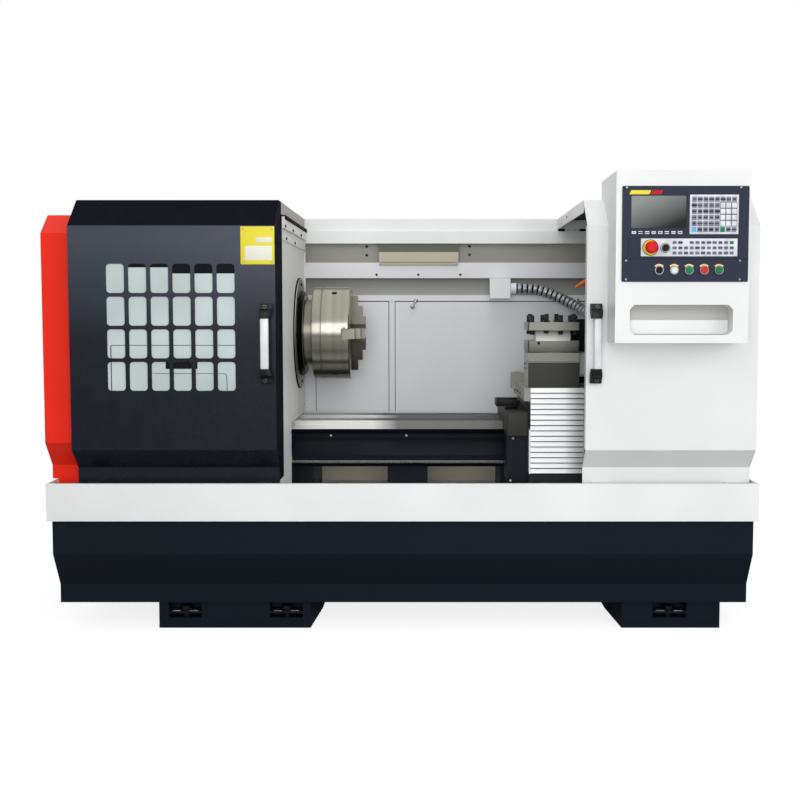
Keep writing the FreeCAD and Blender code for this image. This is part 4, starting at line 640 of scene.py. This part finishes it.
def add_turned(shape, base, direction, profile, segments=24):
    """Adds a turned form: (radius, height) steps in millimetres along a direction from a base point."""
    turn = Vector(direction).to_track_quat("Z", "Y").to_matrix().to_4x4()
    place = Matrix.Translation(mm(*base)) @ turn
    add_rings(shape, [[shape.verts.new(place @ mm(radius * math.cos(a), radius * math.sin(a), height))
                       for a in full_turn(segments)] for radius, height in profile])


def add_prism(shape, near, far):
    """Adds the solid between two outlines in millimetres, point by point, and returns its end faces."""
    near, far = ([shape.verts.new(mm(*point)) for point in outline] for outline in (near, far))
    ends = [shape.faces.new(near), shape.faces.new(list(reversed(far)))]
    add_band(shape, near, far)
    return ends


def add_plate(shape, points, thickness):
    """Adds a flat plate from its corner points in millimetres, thickened towards the front (-Y)."""
    add_prism(shape, [(x, y - thickness, z) for x, y, z in points], points)


def piece(name, shape, body, finish, smooth=35):
    """Makes a riding piece from a finished form."""
    bmesh.ops.recalc_face_normals(shape, faces=shape.faces)
    mesh = bpy.data.meshes.new(name)
    shape.to_mesh(mesh)
    shape.free()
    mesh.materials.append(finishes[finish].material)
    mesh.polygons.foreach_set("use_smooth", [True] * len(mesh.polygons))
    mesh.set_sharp_from_angle(angle=math.radians(smooth))
    thing = bpy.data.objects.new(name, mesh)
    bpy.context.scene.collection.objects.link(thing)
    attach(thing, body)
    return thing


def blocks_piece(name, blocks, body, finish, edge=0.4):
    """One piece made of blocks, each given by two corners in millimetres."""
    shape = bmesh.new()
    for low, high in blocks:
        add_block(shape, low, high, edge)
    return piece(name, shape, body, finish)


def block_piece(name, low, high, body, finish, edge=0.4):
    """One piece that is a single block."""
    return blocks_piece(name, [(low, high)], body, finish, edge)


def turned_piece(name, base, direction, profile, body, finish, segments=48):
    """One piece that is a single turned form."""
    shape = bmesh.new()
    add_turned(shape, base, direction, profile, segments)
    return piece(name, shape, body, finish)


def screws(name, places, direction, radius, body, finish="bolt_black"):
    """Socket button-head screws, each seated on the face that it points away from."""
    head = [(1.0, 0.0), (1.0, 0.25), (0.8, 0.55), (0.5, 0.65), (0.45, 0.3), (0.05, 0.28)]
    shape = bmesh.new()
    for place in places:
        add_turned(shape, place, direction, [(radius * r, radius * h) for r, h in head], segments=18)
    return piece(name, shape, body, finish)


# ---------------------------------------------------------------- cable hose


def hose_line():
    """Points of the smooth line that the hose's control points draw."""
    data = bpy.data.curves.new("hose_line", "CURVE")
    data.dimensions = "3D"
    data.resolution_u = 32
    spline = data.splines.new("NURBS")
    spline.points.add(len(HOSE_ROUTE) - 1)
    for point, place in zip(spline.points, HOSE_ROUTE):
        point.co = (*place, 1.0)
    spline.order_u = 3
    spline.use_endpoint_u = True
    guide = bpy.data.objects.new("hose_line", data)
    line = bpy.data.meshes.new_from_object(guide)
    points = [vertex.co.copy() for vertex in line.vertices]
    bpy.data.objects.remove(guide)
    bpy.data.curves.remove(data)
    bpy.data.meshes.remove(line)
    return points


def along(points, distance):
    """The point at a distance along a line of points, and the line's direction there."""
    for first, second in zip(points, points[1:]):
        step = (second - first).length
        if distance <= step or second is points[-1]:
            return first + (second - first) * (distance / step), (second - first).normalized()
        distance -= step


def hose_ring(shape, centre, direction, side, radius):
    """A ring of vertices round the hose's line that starts on the given side."""
    segments = 32
    other = direction.cross(side)
    return [shape.verts.new(centre + radius * MM * (side * math.cos(a) + other * math.sin(a)))
            for a in full_turn(segments)]


def cable_hose():
    """Strip-wound hose: bright ribs with dark gaps, bending between the carriage and the cross slide."""
    crest, valley, pitch = 22.0, 19.0, 22.0
    profile = [(0.0, 0.0), (0.24, 0.0), (0.29, 0.8), (0.37, 1.0), (0.88, 1.0), (0.96, 0.8)]
    points = hose_line()
    length = sum((b - a).length for a, b in zip(points, points[1:]))
    ribs = round(length / (pitch * MM))
    step = length / ribs
    shape = bmesh.new()
    rings = []
    side = BACK
    for rib in range(ribs):
        for share, rise in profile:
            centre, direction = along(points, (rib + share) * step)
            side = (side - direction * side.dot(direction)).normalized()
            rings.append(hose_ring(shape, centre, direction, side, valley + (crest - valley) * rise))
    rings.append(hose_ring(shape, *along(points, length), side, valley))
    for gap in add_rings(shape, rings)[::len(profile)]:
        for face in gap:
            face.material_index = 1
    hose = piece("cable_hose", shape, "cross_slide_unit", "hose", smooth=50)
    hose.data.materials.append(finishes["rubber"].material)
    hose.parent = None
    del hose["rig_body"]
    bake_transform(hose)
    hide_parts("conduit")


# ---------------------------------------------------------------- small fittings


def guard_fittings():
    """Screws on the spindle-side wall and its rails, its gasket and seal ring, its seal strip, and a white
    corner strip of painted light.
    """
    top_rail, lower_rail, wall, seat = -408, -414, -418, -410
    rails = [(top_rail, y, 1417) for y in (-290, -54, 227)] + [(lower_rail, y, 1377.5) for y in (-212, 63)]
    screws("guard_rail_screws", rails, RIGHT, 6, "machine_frame")
    low_screws = [(wall, y, z) for y, z in ((390, 736), (128, 732), (21, 687), (-96, 668))]
    screws("guard_wall_screws", low_screws, RIGHT, 5, "machine_frame", "zinc")
    axis_y, axis_z = SPINDLE_AXIS[1:]
    circle = 192
    holes = [(seat, axis_y + circle * math.sin(a), axis_z + circle * math.cos(a)) for a in full_turn(8)]
    screws("wall_flange_screws", holes, RIGHT, 6.5, "machine_frame")
    block_piece("guard_seal_strip", (wall, -304, 1441), (-404.5, 440, 1455), "machine_frame", "rubber",
                edge=1.5)
    gasket = [(219, 0), (219, 4), (218, 5), (215.2, 5)]
    turned_piece("wall_flange_gasket", (wall, axis_y, axis_z), RIGHT, gasket, "machine_frame", "rubber",
                 segments=96)
    ring =[(158, 0), (158, 1.5), (157, 2), (151, 2), (150.5, 0.2)]
    turned_piece("seal_ring", (-391, axis_y, axis_z), RIGHT, ring, "machine_frame", "bezel",
                 segments=96)
    # Painted light: a white strip in the corner, where light shows through the gap between the wall and the
    # rear panel.
    block_piece("wall_corner_painted_light", (-419, 449, 531), (-415, 470, 1398), "machine_frame", "wall")


def hood_side():
    """A dark sheet on the left hood's right side, a dark matte sheet of painted shade on its slope, a grey
    sheet of painted shade on its roof's end, and rubber lips.
    """
    thick, roof_left = 0.8, -1117.5
    rear, sill = -332, 533
    outline = [(-374, 1499), (-488, 1404), (-488, 646), (-414, 578), (-414, sill), (rear, sill),
               (rear, 1456), (-322, 1457), (-322, 1499)]
    sheet = bmesh.new()
    add_prism(sheet, *[[(x, y, z) for y, z in outline] for x in (HOOD_SIDE, HOOD_SIDE + thick)])
    piece("left_hood_side_sheet", sheet, "left_hood", "hood_side")
    # The slope sheet is painted shade: a dark matte sheet that keeps the folded slope dark.
    fold = [(-490, 1405.5), (-375.6, 1500), (-375.9, 1500.3), (-490.3, 1405.8)]
    slope = bmesh.new()
    add_prism(slope, *[[(x, y, z) for y, z in fold] for x in (roof_left, HOOD_SIDE - 0.5)])
    piece("left_hood_slope_sheet", slope, "left_hood", "hood_side")
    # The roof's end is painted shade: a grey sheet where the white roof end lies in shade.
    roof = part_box("left_door_roof")[1]
    block_piece("left_roof_end", (HOOD_SIDE, -322, 1457),
                (HOOD_SIDE + thick, roof.y / MM - 1, roof.z / MM - 1), "left_hood", "roof_end",
                edge=0)
    lips = bmesh.new()
    add_block(lips, (HOOD_SIDE, rear, 534), (HOOD_SIDE + 3, -321, 1456), 0.6)
    add_block(lips, (HOOD_SIDE, -487, 650), (HOOD_SIDE + 2, -482, 1400), 0.4)
    piece("left_hood_lip", lips, "left_hood", "rubber")


def right_roof_shade_sheet():
    """A dark sheet of painted shade under the right hood's roof, and the rubber strip on its rear flange."""
    # Painted shade: a dark sheet under the roof.
    block_piece("right_roof_shade_sheet", (636, -364, 1494.5), (1209, 459, 1496.8), "right_hood", "underside_shade",
                edge=0)
    block_piece("right_roof_strip", (634, 452, 1449), (1209, 459.8, 1458), "right_hood", "rubber")
    screws("right_roof_screw", [(632, 120, 1482)], LEFT, 4, "right_hood")


def rear_wall_fittings():
    """Screws, sheet joints and panel latches on the wall behind the work space."""
    band, duct, panel = 500, 470, 465
    band_screws = [(-162, 1388), (-162, 1352), (268, 1389), (268, 1354), (193, 1388), (211, 1388)]
    screws("rear_band_screws", [(x, band, z) for x, z in band_screws], FRONT, 5.5, "machine_frame")
    screws("cable_duct_screws", [(x, duct, 1270) for x in (-120, 54, 229)], FRONT, 5, "machine_frame")
    top, bottom, width, front = 1160, 700, 2.4, panel - 0.4
    joints = []
    for left, right in ((-376, -68), (-44, 1205)):
        joints.append(((left, front, top - width), (right, panel, top)))
        joints += [((x, front, bottom), (x + width, panel, top)) for x in (left, right - width)]
    blocks_piece("rear_panel_joints", joints, "machine_frame", "groove", edge=0)
    for number, x in enumerate((44, 716), 1):
        panel_latch(number, x, panel)


def panel_latch(number, x, face):
    """A quarter-turn latch: a round rose on the panel with a short bent lever and its ball."""
    height, lever, ball, steps = 1163, Vector((-14, -4, -25)), 9, 10
    shape = bmesh.new()
    rose = [(9, 0), (9, 2), (7, 4), (4.5, 5), (4.5, 9), (3, 10)]
    add_turned(shape, (x, face, height), FRONT, rose)
    add_turned(shape, (x, face - 7, height), lever, [(4.4, 0), (4.2, 4), (3.6, 24), (3, 26)], segments=16)
    piece(f"panel_latch_{number}", shape, "machine_frame", "zinc")
    angles = [math.pi * i / steps for i in range(1, steps)]
    round_ball = [(ball * math.sin(a), -ball * math.cos(a)) for a in angles]
    turned_piece(f"panel_latch_ball_{number}", (x - 14, face - 12, 1137), lever, round_ball,
                 "machine_frame", "zinc", segments=20)


def hood_plate():
    """The blank yellow plate riveted on the left hood, with two paler fields."""
    left, right, low, high = -535, -421, 1275, 1402
    front, inset = HOOD_FACE - 1.2, 8
    block_piece("left_hood_plate", (left, front, low), (right, HOOD_FACE, high), "left_hood", "plate_yellow",
                edge=0.5)
    fields = [((left + 14, front - 0.3, low + 14), (right - inset, front, low + 62)),
              ((left + 52, front - 0.3, high - 54), (right - inset, front, high - 36))]
    blocks_piece("left_hood_plate_fields", fields, "left_hood", "plate_field", edge=0.1)
    corners = [(x, front, z) for x in (left + inset, right - inset) for z in (low + inset, high - inset)]
    screws("left_hood_plate_rivets", corners, FRONT, 3, "left_hood", "zinc")


def panel_screws():
    """Screws down both edges of the control panel."""
    places = [(x, PANEL_FACE, z) for x in (735, 1102) for z in (1514, 1280, 1220)]
    screws("panel_screws", places, FRONT, 4, "right_hood", "zinc")


def status_strips():
    """Two slanted plain strips above the display, one yellow and one red."""
    low, high, slant = 1492, 1505, 6
    for name, left, right, finish in (("strip_yellow", 743, 813, "plate_yellow"),
                                      ("strip_red", 811, 852, "strip_red")):
        corners = [(left, low), (right - slant, low), (right, high), (left + slant, high)]
        shape = bmesh.new()
        add_plate(shape, [(x, PANEL_FACE, z) for x, z in corners], 0.8)
        piece(name, shape, "right_hood", finish)


def key_block(name, finish, cells, depth):
    """Keys as low rounded pads, each given by its centre and size."""
    pads = [((x - width / 2, depth - 1.4, z - height / 2), (x + width / 2, depth, z + height / 2))
            for x, z, width, height in cells]
    blocks_piece(name, pads, "right_hood", finish, edge=0.6)


def key_marks(name, cells, depth):
    """A plain printed bar on each key, in a few lengths and heights."""
    bars = []
    for number, (x, z, width, height) in enumerate(cells):
        bar = width * (0.28 + 0.09 * (number * 7 % 4))
        rise = height * (0.10 + 0.05 * (number * 5 % 3))
        bars.append(((x - bar, depth - 1.6, z - rise), (x + bar, depth - 1.4, z + rise)))
    blocks_piece(name, bars, "right_hood", "key_dark", edge=0)


def keypad():
    """The keypad right of the display: eight columns and six rows of keys on a pale film."""
    left, right, low, high = 938, 1095, 1365, 1491
    depth = PANEL_FACE - 1.0
    block_piece("keypad_film", (left, depth, low), (right, PANEL_FACE, high), "right_hood", "keypad",
                edge=0.5)
    columns, rows, margin, share = 8, 6, 5, 0.84
    number_columns, number_rows = range(5, 8), range(1, 5)
    coloured = {(0, 5): "blue", (5, 5): "green"}
    pitch_x = (right - left - 2 * margin) / columns
    pitch_z = (high - low - 2 * margin) / rows
    keys = {"grey": [], "white": [], "green": [], "blue": []}
    for column in range(columns):
        for row in range(rows):
            numbers = column in number_columns and row in number_rows
            kind = coloured.get((column, row), "white" if numbers else "grey")
            x = left + margin + (column + 0.5) * pitch_x
            z = high - margin - (row + 0.5) * pitch_z
            keys[kind].append((x, z, pitch_x * share, pitch_z * share))
    corner = (left + margin + number_columns[0] * pitch_x, depth - 0.5, high - margin - 5 * pitch_z)
    block_piece("keypad_number_bed", corner, (right - margin, depth, high - margin - pitch_z), "right_hood",
                "key_mid", edge=0)
    for name, kind in (("grey_keys", "grey"), ("number_keys", "white"), ("green_key", "green"),
                       ("blue_key", "blue")):
        key_block("keypad_" + name, "key_" + kind, keys[kind], depth)
    key_marks("keypad_marks", keys["grey"], depth)


def soft_keys():
    """Eight soft keys under the display."""
    cells = [(759 + 21.2 * i, 1370, 14, 9) for i in range(8)]
    key_block("soft_keys", "keypad", cells, PANEL_FACE)
    key_marks("soft_key_marks", cells, PANEL_FACE)


def operator_plate():
    """The pale plate with the stop button, the selector and three rows of keys."""
    left, right, low, high = 782, 1093, 1294, 1351
    depth = PANEL_FACE - 0.8
    block_piece("operator_film", (left, depth, low), (right, PANEL_FACE, high), "right_hood", "keypad",
                edge=0.4)
    columns, first, pitch, gap = 11, 890.5, 18.4, 2
    cells = [(first + pitch * column, z, 13, 10) for z in (1338, 1321, 1304.5) for column in range(columns)]
    green = cells.pop(columns - 1)
    cells.pop(gap)
    key_block("operator_keys", "key_grey", cells, depth)
    key_block("operator_green_key", "key_green", [green], depth)
    key_marks("operator_marks", cells, depth)
    stop, selector = (813, depth, 1322), (861, depth, 1321)
    turned_piece("stop_ring", stop, FRONT, [(24, 0), (24, 0.3), (23.8, 0.5), (15, 0.5)], "right_hood",
                 "plate_yellow")
    turned_piece("stop_ring_rim", stop, FRONT, [(26, 0), (26, 0.2), (25.8, 0.4), (23, 0.4)], "right_hood",
                 "groove")
    turned_piece("selector_rose", selector, FRONT, [(16.5, 0), (16.5, 0.6), (15.5, 1.4), (13, 1.4)],
                 "right_hood", "bezel", segments=40)


def panel_lines():
    """The joints between the display sheet, the side lid and the button sheet."""
    lines = [((721, 1284.6), (1129, 1286.0)), ((741, 1294), (742, 1352)), ((741, 1351), (779, 1352))]
    joints = [((left, PANEL_FACE - 0.3, low), (right, PANEL_FACE, high))
              for (left, low), (right, high) in lines]
    blocks_piece("panel_joints", joints, "right_hood", "groove", edge=0)


def legend_plates():
    """A gilt half ring over each push button."""
    inner, outer, start, sweep, steps = 15.0, 20.0, 42, 96, 14
    angles = [math.radians(start + sweep * i / steps) for i in range(steps + 1)]
    shape = bmesh.new()
    for number in range(1, 6):
        low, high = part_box(f"push_button_{number}")
        centre = (low + high) / 2 / MM
        rim = [(centre.x + radius * math.cos(a), PANEL_FACE, centre.z + radius * math.sin(a))
               for radius, arc in ((outer, angles), (inner, reversed(angles))) for a in arc]
        add_plate(shape, rim, 1.0)
    piece("button_legends", shape, "right_hood", "gold")


def box_side_fittings():
    """Screws and the short vent on the right side of the control box."""
    side = 1134
    screws("box_side_screws", [(side, -628, z) for z in (1506, 1454, 1155)], RIGHT, 4, "right_hood")
    slits = [1088 + 6.5 * i for i in range(6)]
    blocks_piece("box_side_vent", [((side - 0.2, -650, low), (side + 0.5, -560, low + 3)) for low in slits],
                 "right_hood", "groove", edge=0.2)


def carriage_fittings():
    """The saddle's front sheet, its side tray and the bright screws on the apron."""
    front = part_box("saddle")[0].y / MM
    block_piece("saddle_front_sheet", (383, front - 3, 668), (455, front, 752.5), "carriage", "saddle",
                edge=0.8)
    screws("apron_screws", [(406, -190, 654.5), (397.5, -190, 499)], FRONT, 5, "carriage", "zinc")
    left, right, near, far, base, top, wall = 350, 436, -100, 30, 764, 789, 3
    walls = [((left, near), (right, near + wall)), ((left, far - wall), (right, far)),
             ((left, near + wall), (left + wall, far - wall)),
             ((right - wall, near + wall), (right, far - wall))]
    tray = [((left, near, base), (right, far, base + wall)), ((388, -70, 753), (428, 0, base))]
    tray += [((*corner, base + wall), (*end, top)) for corner, end in walls]
    blocks_piece("saddle_tray", tray, "carriage", "box_black", edge=0.5)


def slat_gaps():
    """The dark gap under each slat."""
    low, high, count, front = 529, 841, 16, -239
    edges = [low + i * (high - low) / count for i in range(count)]
    gaps = [((466.2, front - 0.2, z + 0.2), (657.8, front + 1, z + 3.2)) for z in edges]
    blocks_piece("slat_gaps", gaps, "carriage", "groove", edge=0)


def paper_pocket():
    """The folded step in the paper pocket's lower half, and behind it a darker grey sheet of painted shade.
    """
    left, right, step_top = 751, 1083, 1089
    block_piece("paper_pocket_step", (left, -600, 1042), (right, -589.5, step_top), "right_hood", "shell",
                edge=1.0)
    # Painted shade: a grey sheet at the back of the pocket's upper half.
    block_piece("paper_pocket_back", (left, -591, step_top), (right, -589.8, 1141), "right_hood",
                "pocket_back_shade", edge=0)


def pane_fittings():
    """What lies against the panes: a dark header, and the thin outline of the sheet behind them."""
    face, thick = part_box("left_door_window")[0].y / MM, 0.3

    def against_pane(areas):
        """Thin blocks on the pane, from the left, bottom, right and top of each."""
        return [((left, face - thick, base), (right, face, top)) for left, base, right, top in areas]

    header = against_pane([(-918, 1265, -775, 1278), (-775, 1244.5, -545, 1278), (-794, 922.5, -686, 950)])
    blocks_piece("left_pane_header", header, "left_hood", "groove", edge=0)
    lines = bmesh.new()
    straight = [(-978, 1001.5, -555, 1003.5), (-980, 840, -977, 1001.5), (-839, 906, -600, 907.5)]
    for near, far in against_pane(straight):
        add_block(lines, near, far, 0)
    corner = [(-600, 906), (-592, 904), (-588, 898), (-587, 840), (-585, 840), (-586, 899), (-591, 905.5),
              (-600, 907.5)]
    add_plate(lines, [(x, face, z) for x, z in corner], thick)
    piece("left_pane_sheet_edges", lines, "left_hood", "groove")


def lamp_lens():
    """The lamp's lens, which hangs a little in front of the cable duct's top edge."""
    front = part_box("work_lamp")[0].y / MM
    block_piece("work_lamp_lens", (-109, front, 1309), (220, 469.5, 1324), "machine_frame", "lamp",
                edge=2)


def handle_pieces(side, body, left, right, grip_left, grip_right):
    """A pull handle: end blocks with a screw recess and a sloping nose, and the metal bar between them."""
    low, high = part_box(side + "_handle_ends")
    front, reach = high.y / MM, low.y / MM
    bottom, top = low.z / MM, high.z / MM
    end, shoulder = 52, 36
    profile = [(front, 2), (front - 21, 2), (front - 24, 5), (front - 25, 20), (reach + 3, 27), (reach, 31),
               (reach, end), (reach + 22, end), (front - 18, 40), (front, shoulder)]
    shape = bmesh.new()
    for base, way in ((top, -1), (bottom, 1)):
        near = [(left, y, base + way * z) for y, z in profile]
        far = [(right if z < shoulder else grip_right + 1.5, y, base + way * z) for y, z in profile]
        rim = {edge for face in add_prism(shape, near, far) for edge in face.edges}
        bmesh.ops.bevel(shape, geom=list(rim), offset=1.6 * MM, segments=2, profile=0.5, affect="EDGES")
    ends = piece(side + "_handle_blocks", shape, body, "grip_black")
    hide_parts(side + "_handle_ends")
    head = [(6, 0), (6, 1.0), (5.4, 1.5), (4.6, 1.5), (4.2, 0.2), (0.5, 0.2)]
    recess = bmesh.new()
    for z in (top - 12, bottom + 12):
        add_turned(recess, ((grip_left + grip_right) / 2, front - 23.6, z), FRONT, head)
    piece(side + "_handle_screws", recess, body, "bezel")
    grip_low, grip_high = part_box(side + "_handle_grip")
    grip = block_piece(side + "_handle_bar", (grip_left, grip_low.y / MM, bottom + end - 2),
                       (grip_right, grip_high.y / MM, top - end + 2), body, "grip_white",
                       edge=5)
    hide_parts(side + "_handle_grip")


def foot_bar_highlights():
    """Bright zinc strips on the bars of the feet, under the levelling bolts' heads: a painted highlight
    along the bars' upper edges.
    """
    # Painted highlight: thin bright strips along the bars' upper edges.
    highlight_strips = []
    for low, high in ((-821, -705), (-464, -347), (889, 1009)):
        middle = (low + high) / 2
        highlight_strips += [((left, -376, 60), (right, -364, 62))
                  for left, right in ((low + 14, middle - 16), (middle + 16, high - 14))]
    blocks_piece("foot_bar_highlights", highlight_strips, "machine_frame", "zinc", edge=0.3)


def turret_fittings():
    """Cover screws on the left sides of the turret and its slide, and the stop screw in front."""
    screws("turret_front_screw", [(498, -190.5, 1002.5)], FRONT, 5, "turret")
    cover = [(459.5, y, z) for y in (-106, -40) for z in (922, 906)]
    screws("turret_side_screws", cover, LEFT, 4, "cross_slide_unit")
    screws("slide_side_screws", [(442, y, 812) for y in (-60, 60)], LEFT, 5, "cross_slide_unit")


def cover_screws():
    """The bright screws on the lead screw's cover."""
    screws("screw_cover_screws", [(x, 59, 639) for x in (-280, 11)], FRONT, 5, "machine_frame", "zinc")


def lead_screw():
    """The long screw with its rolled thread, between plain journals."""
    low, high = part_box("lead_screw")
    start, end = low.x / MM, high.x / MM
    journal, pitch, steps = 60, 10, 20
    crest, root = 16.0, 13.0
    section = [(0.0, crest), (0.30, crest), (0.45, root), (0.85, root)]
    thread_from, thread_to = start + journal, end - journal - pitch
    turns = math.floor((thread_to - thread_from) / pitch)
    shape = bmesh.new()
    strips = []
    for share, radius in section:
        line = []
        for i in range(turns * steps + 1):
            angle = 2 * math.pi * i / steps
            x = thread_from + pitch * (i / steps + share)
            place = mm(x, SCREW_AXIS[1] + radius * math.sin(angle), SCREW_AXIS[2] + radius * math.cos(angle))
            line.append(shape.verts.new(place))
        strips.append(line)
    for first, second in zip(strips, strips[1:]):
        for i in range(turns * steps):
            shape.faces.new((first[i], first[i + 1], second[i + 1], second[i]))
    for i in range((turns - 1) * steps):
        shape.faces.new((strips[-1][i], strips[-1][i + 1], strips[0][i + 1 + steps], strips[0][i + steps]))
    ends = [(root, 0), (root + 1, 1), (root + 1, journal + pitch * 0.5), (root - 1, journal + pitch)]
    add_turned(shape, (start, *SCREW_AXIS[1:]), RIGHT, ends, segments=32)
    add_turned(shape, (end, *SCREW_AXIS[1:]), LEFT, [(r, h * 1.2) for r, h in ends], segments=32)
    screw = piece("lead_screw_thread", shape, "screw", "screw_steel", smooth=40)
    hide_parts("lead_screw")


# ---------------------------------------------------------------- stage, light and camera


def direct_sight(tree, rays):
    """1 for camera rays and the other kinds of ray that are named, and 0 for the rest."""
    path = tree.nodes.new("ShaderNodeLightPath")
    total = path.outputs["Is Camera Ray"]
    for name in rays:
        total = combine(tree, "MAXIMUM", total, path.outputs[name])
    return total


def floor():
    """A plain pale floor that keeps the machine's shadow and goes white around it."""
    mesh = bpy.data.meshes.new("floor")
    corners = [(x * FLOOR_REACH, y * FLOOR_REACH, 0) for x, y in ((-1, -1), (1, -1), (1, 1), (-1, 1))]
    mesh.from_pydata(corners, [], [(0, 1, 2, 3)])
    plane = bpy.data.objects.new("floor", mesh)
    bpy.context.scene.collection.objects.link(plane)
    material = bpy.data.materials.new("floor")
    material.use_nodes = True
    tree = material.node_tree
    tree.nodes.clear()
    pale = tree.nodes.new("ShaderNodeBsdfDiffuse")
    pale.inputs["Color"].default_value = (FLOOR_TONE, FLOOR_TONE, FLOOR_TONE, 1)
    lift = tree.nodes.new("ShaderNodeEmission")
    lift.inputs["Color"].default_value = (1, 1, 1, 1)
    strength = combine(tree, "MULTIPLY", direct_sight(tree, ["Is Transmission Ray"]), FLOOR_LIFT)
    tree.links.new(strength, lift.inputs["Strength"])
    both = tree.nodes.new("ShaderNodeAddShader")
    tree.links.new(pale.outputs["BSDF"], both.inputs[0])
    tree.links.new(lift.outputs["Emission"], both.inputs[1])
    output = tree.nodes.new("ShaderNodeOutputMaterial")
    tree.links.new(both.outputs["Shader"], output.inputs["Surface"])
    mesh.materials.append(material)


def sky():
    """White where it is looked at, and an even soft light on everything else."""
    world = bpy.data.worlds.new("studio")
    bpy.context.scene.world = world
    world.use_nodes = True
    tree = world.node_tree
    background = tree.nodes["Background"]
    background.inputs["Color"].default_value = (1, 1, 1, 1)
    strength = tree.nodes.new("ShaderNodeMapRange")
    strength.inputs["To Min"].default_value = SKY_LIGHT
    strength.inputs["To Max"].default_value = 1.0
    tree.links.new(direct_sight(tree, ["Is Glossy Ray", "Is Transmission Ray"]), strength.inputs["Value"])
    tree.links.new(strength.outputs["Result"], background.inputs["Strength"])


def lamp(name, place, target, size, power):
    """A soft box at a place, turned towards a target."""
    data = bpy.data.lights.new(name, "AREA")
    data.shape = "RECTANGLE"
    data.size, data.size_y = size
    data.energy = power
    thing = bpy.data.objects.new(name, data)
    thing.location = place
    thing.rotation_euler = (Vector(target) - Vector(place)).to_track_quat("-Z", "Y").to_euler()
    thing.visible_glossy = name == MIRRORED_LAMP
    bpy.context.scene.collection.objects.link(thing)


def camera():
    """The photograph's view, from the front and a little above, slightly right of the middle."""
    data = bpy.data.cameras.new("camera")
    data.sensor_width = SENSOR_WIDTH
    data.lens = LENS
    data.shift_x = CAMERA_SHIFT
    view = bpy.data.objects.new("camera", data)
    view.location = CAMERA_PLACE
    view.rotation_euler = (math.radians(CAMERA_TILT), 0, 0)
    bpy.context.scene.collection.objects.link(view)
    bpy.context.scene.camera = view


bpy.context.scene.view_settings.view_transform = "Standard"
camera()
sky()
for lamp_name, settings in LAMPS.items():
    lamp(lamp_name, *settings)
floor()
dress_nodes()
cable_hose()
guard_fittings()
rear_wall_fittings()
hood_side()
right_roof_shade_sheet()
hood_plate()
panel_screws()
status_strips()
keypad()
soft_keys()
operator_plate()
panel_lines()
legend_plates()
box_side_fittings()
carriage_fittings()
slat_gaps()
paper_pocket()
pane_fittings()
lamp_lens()
handle_pieces("left", "left_hood", -469, -428, -467, -439)
handle_pieces("right", "right_hood", 643, 682, 653, 678)
foot_bar_highlights()
turret_fittings()
cover_screws()
lead_screw()
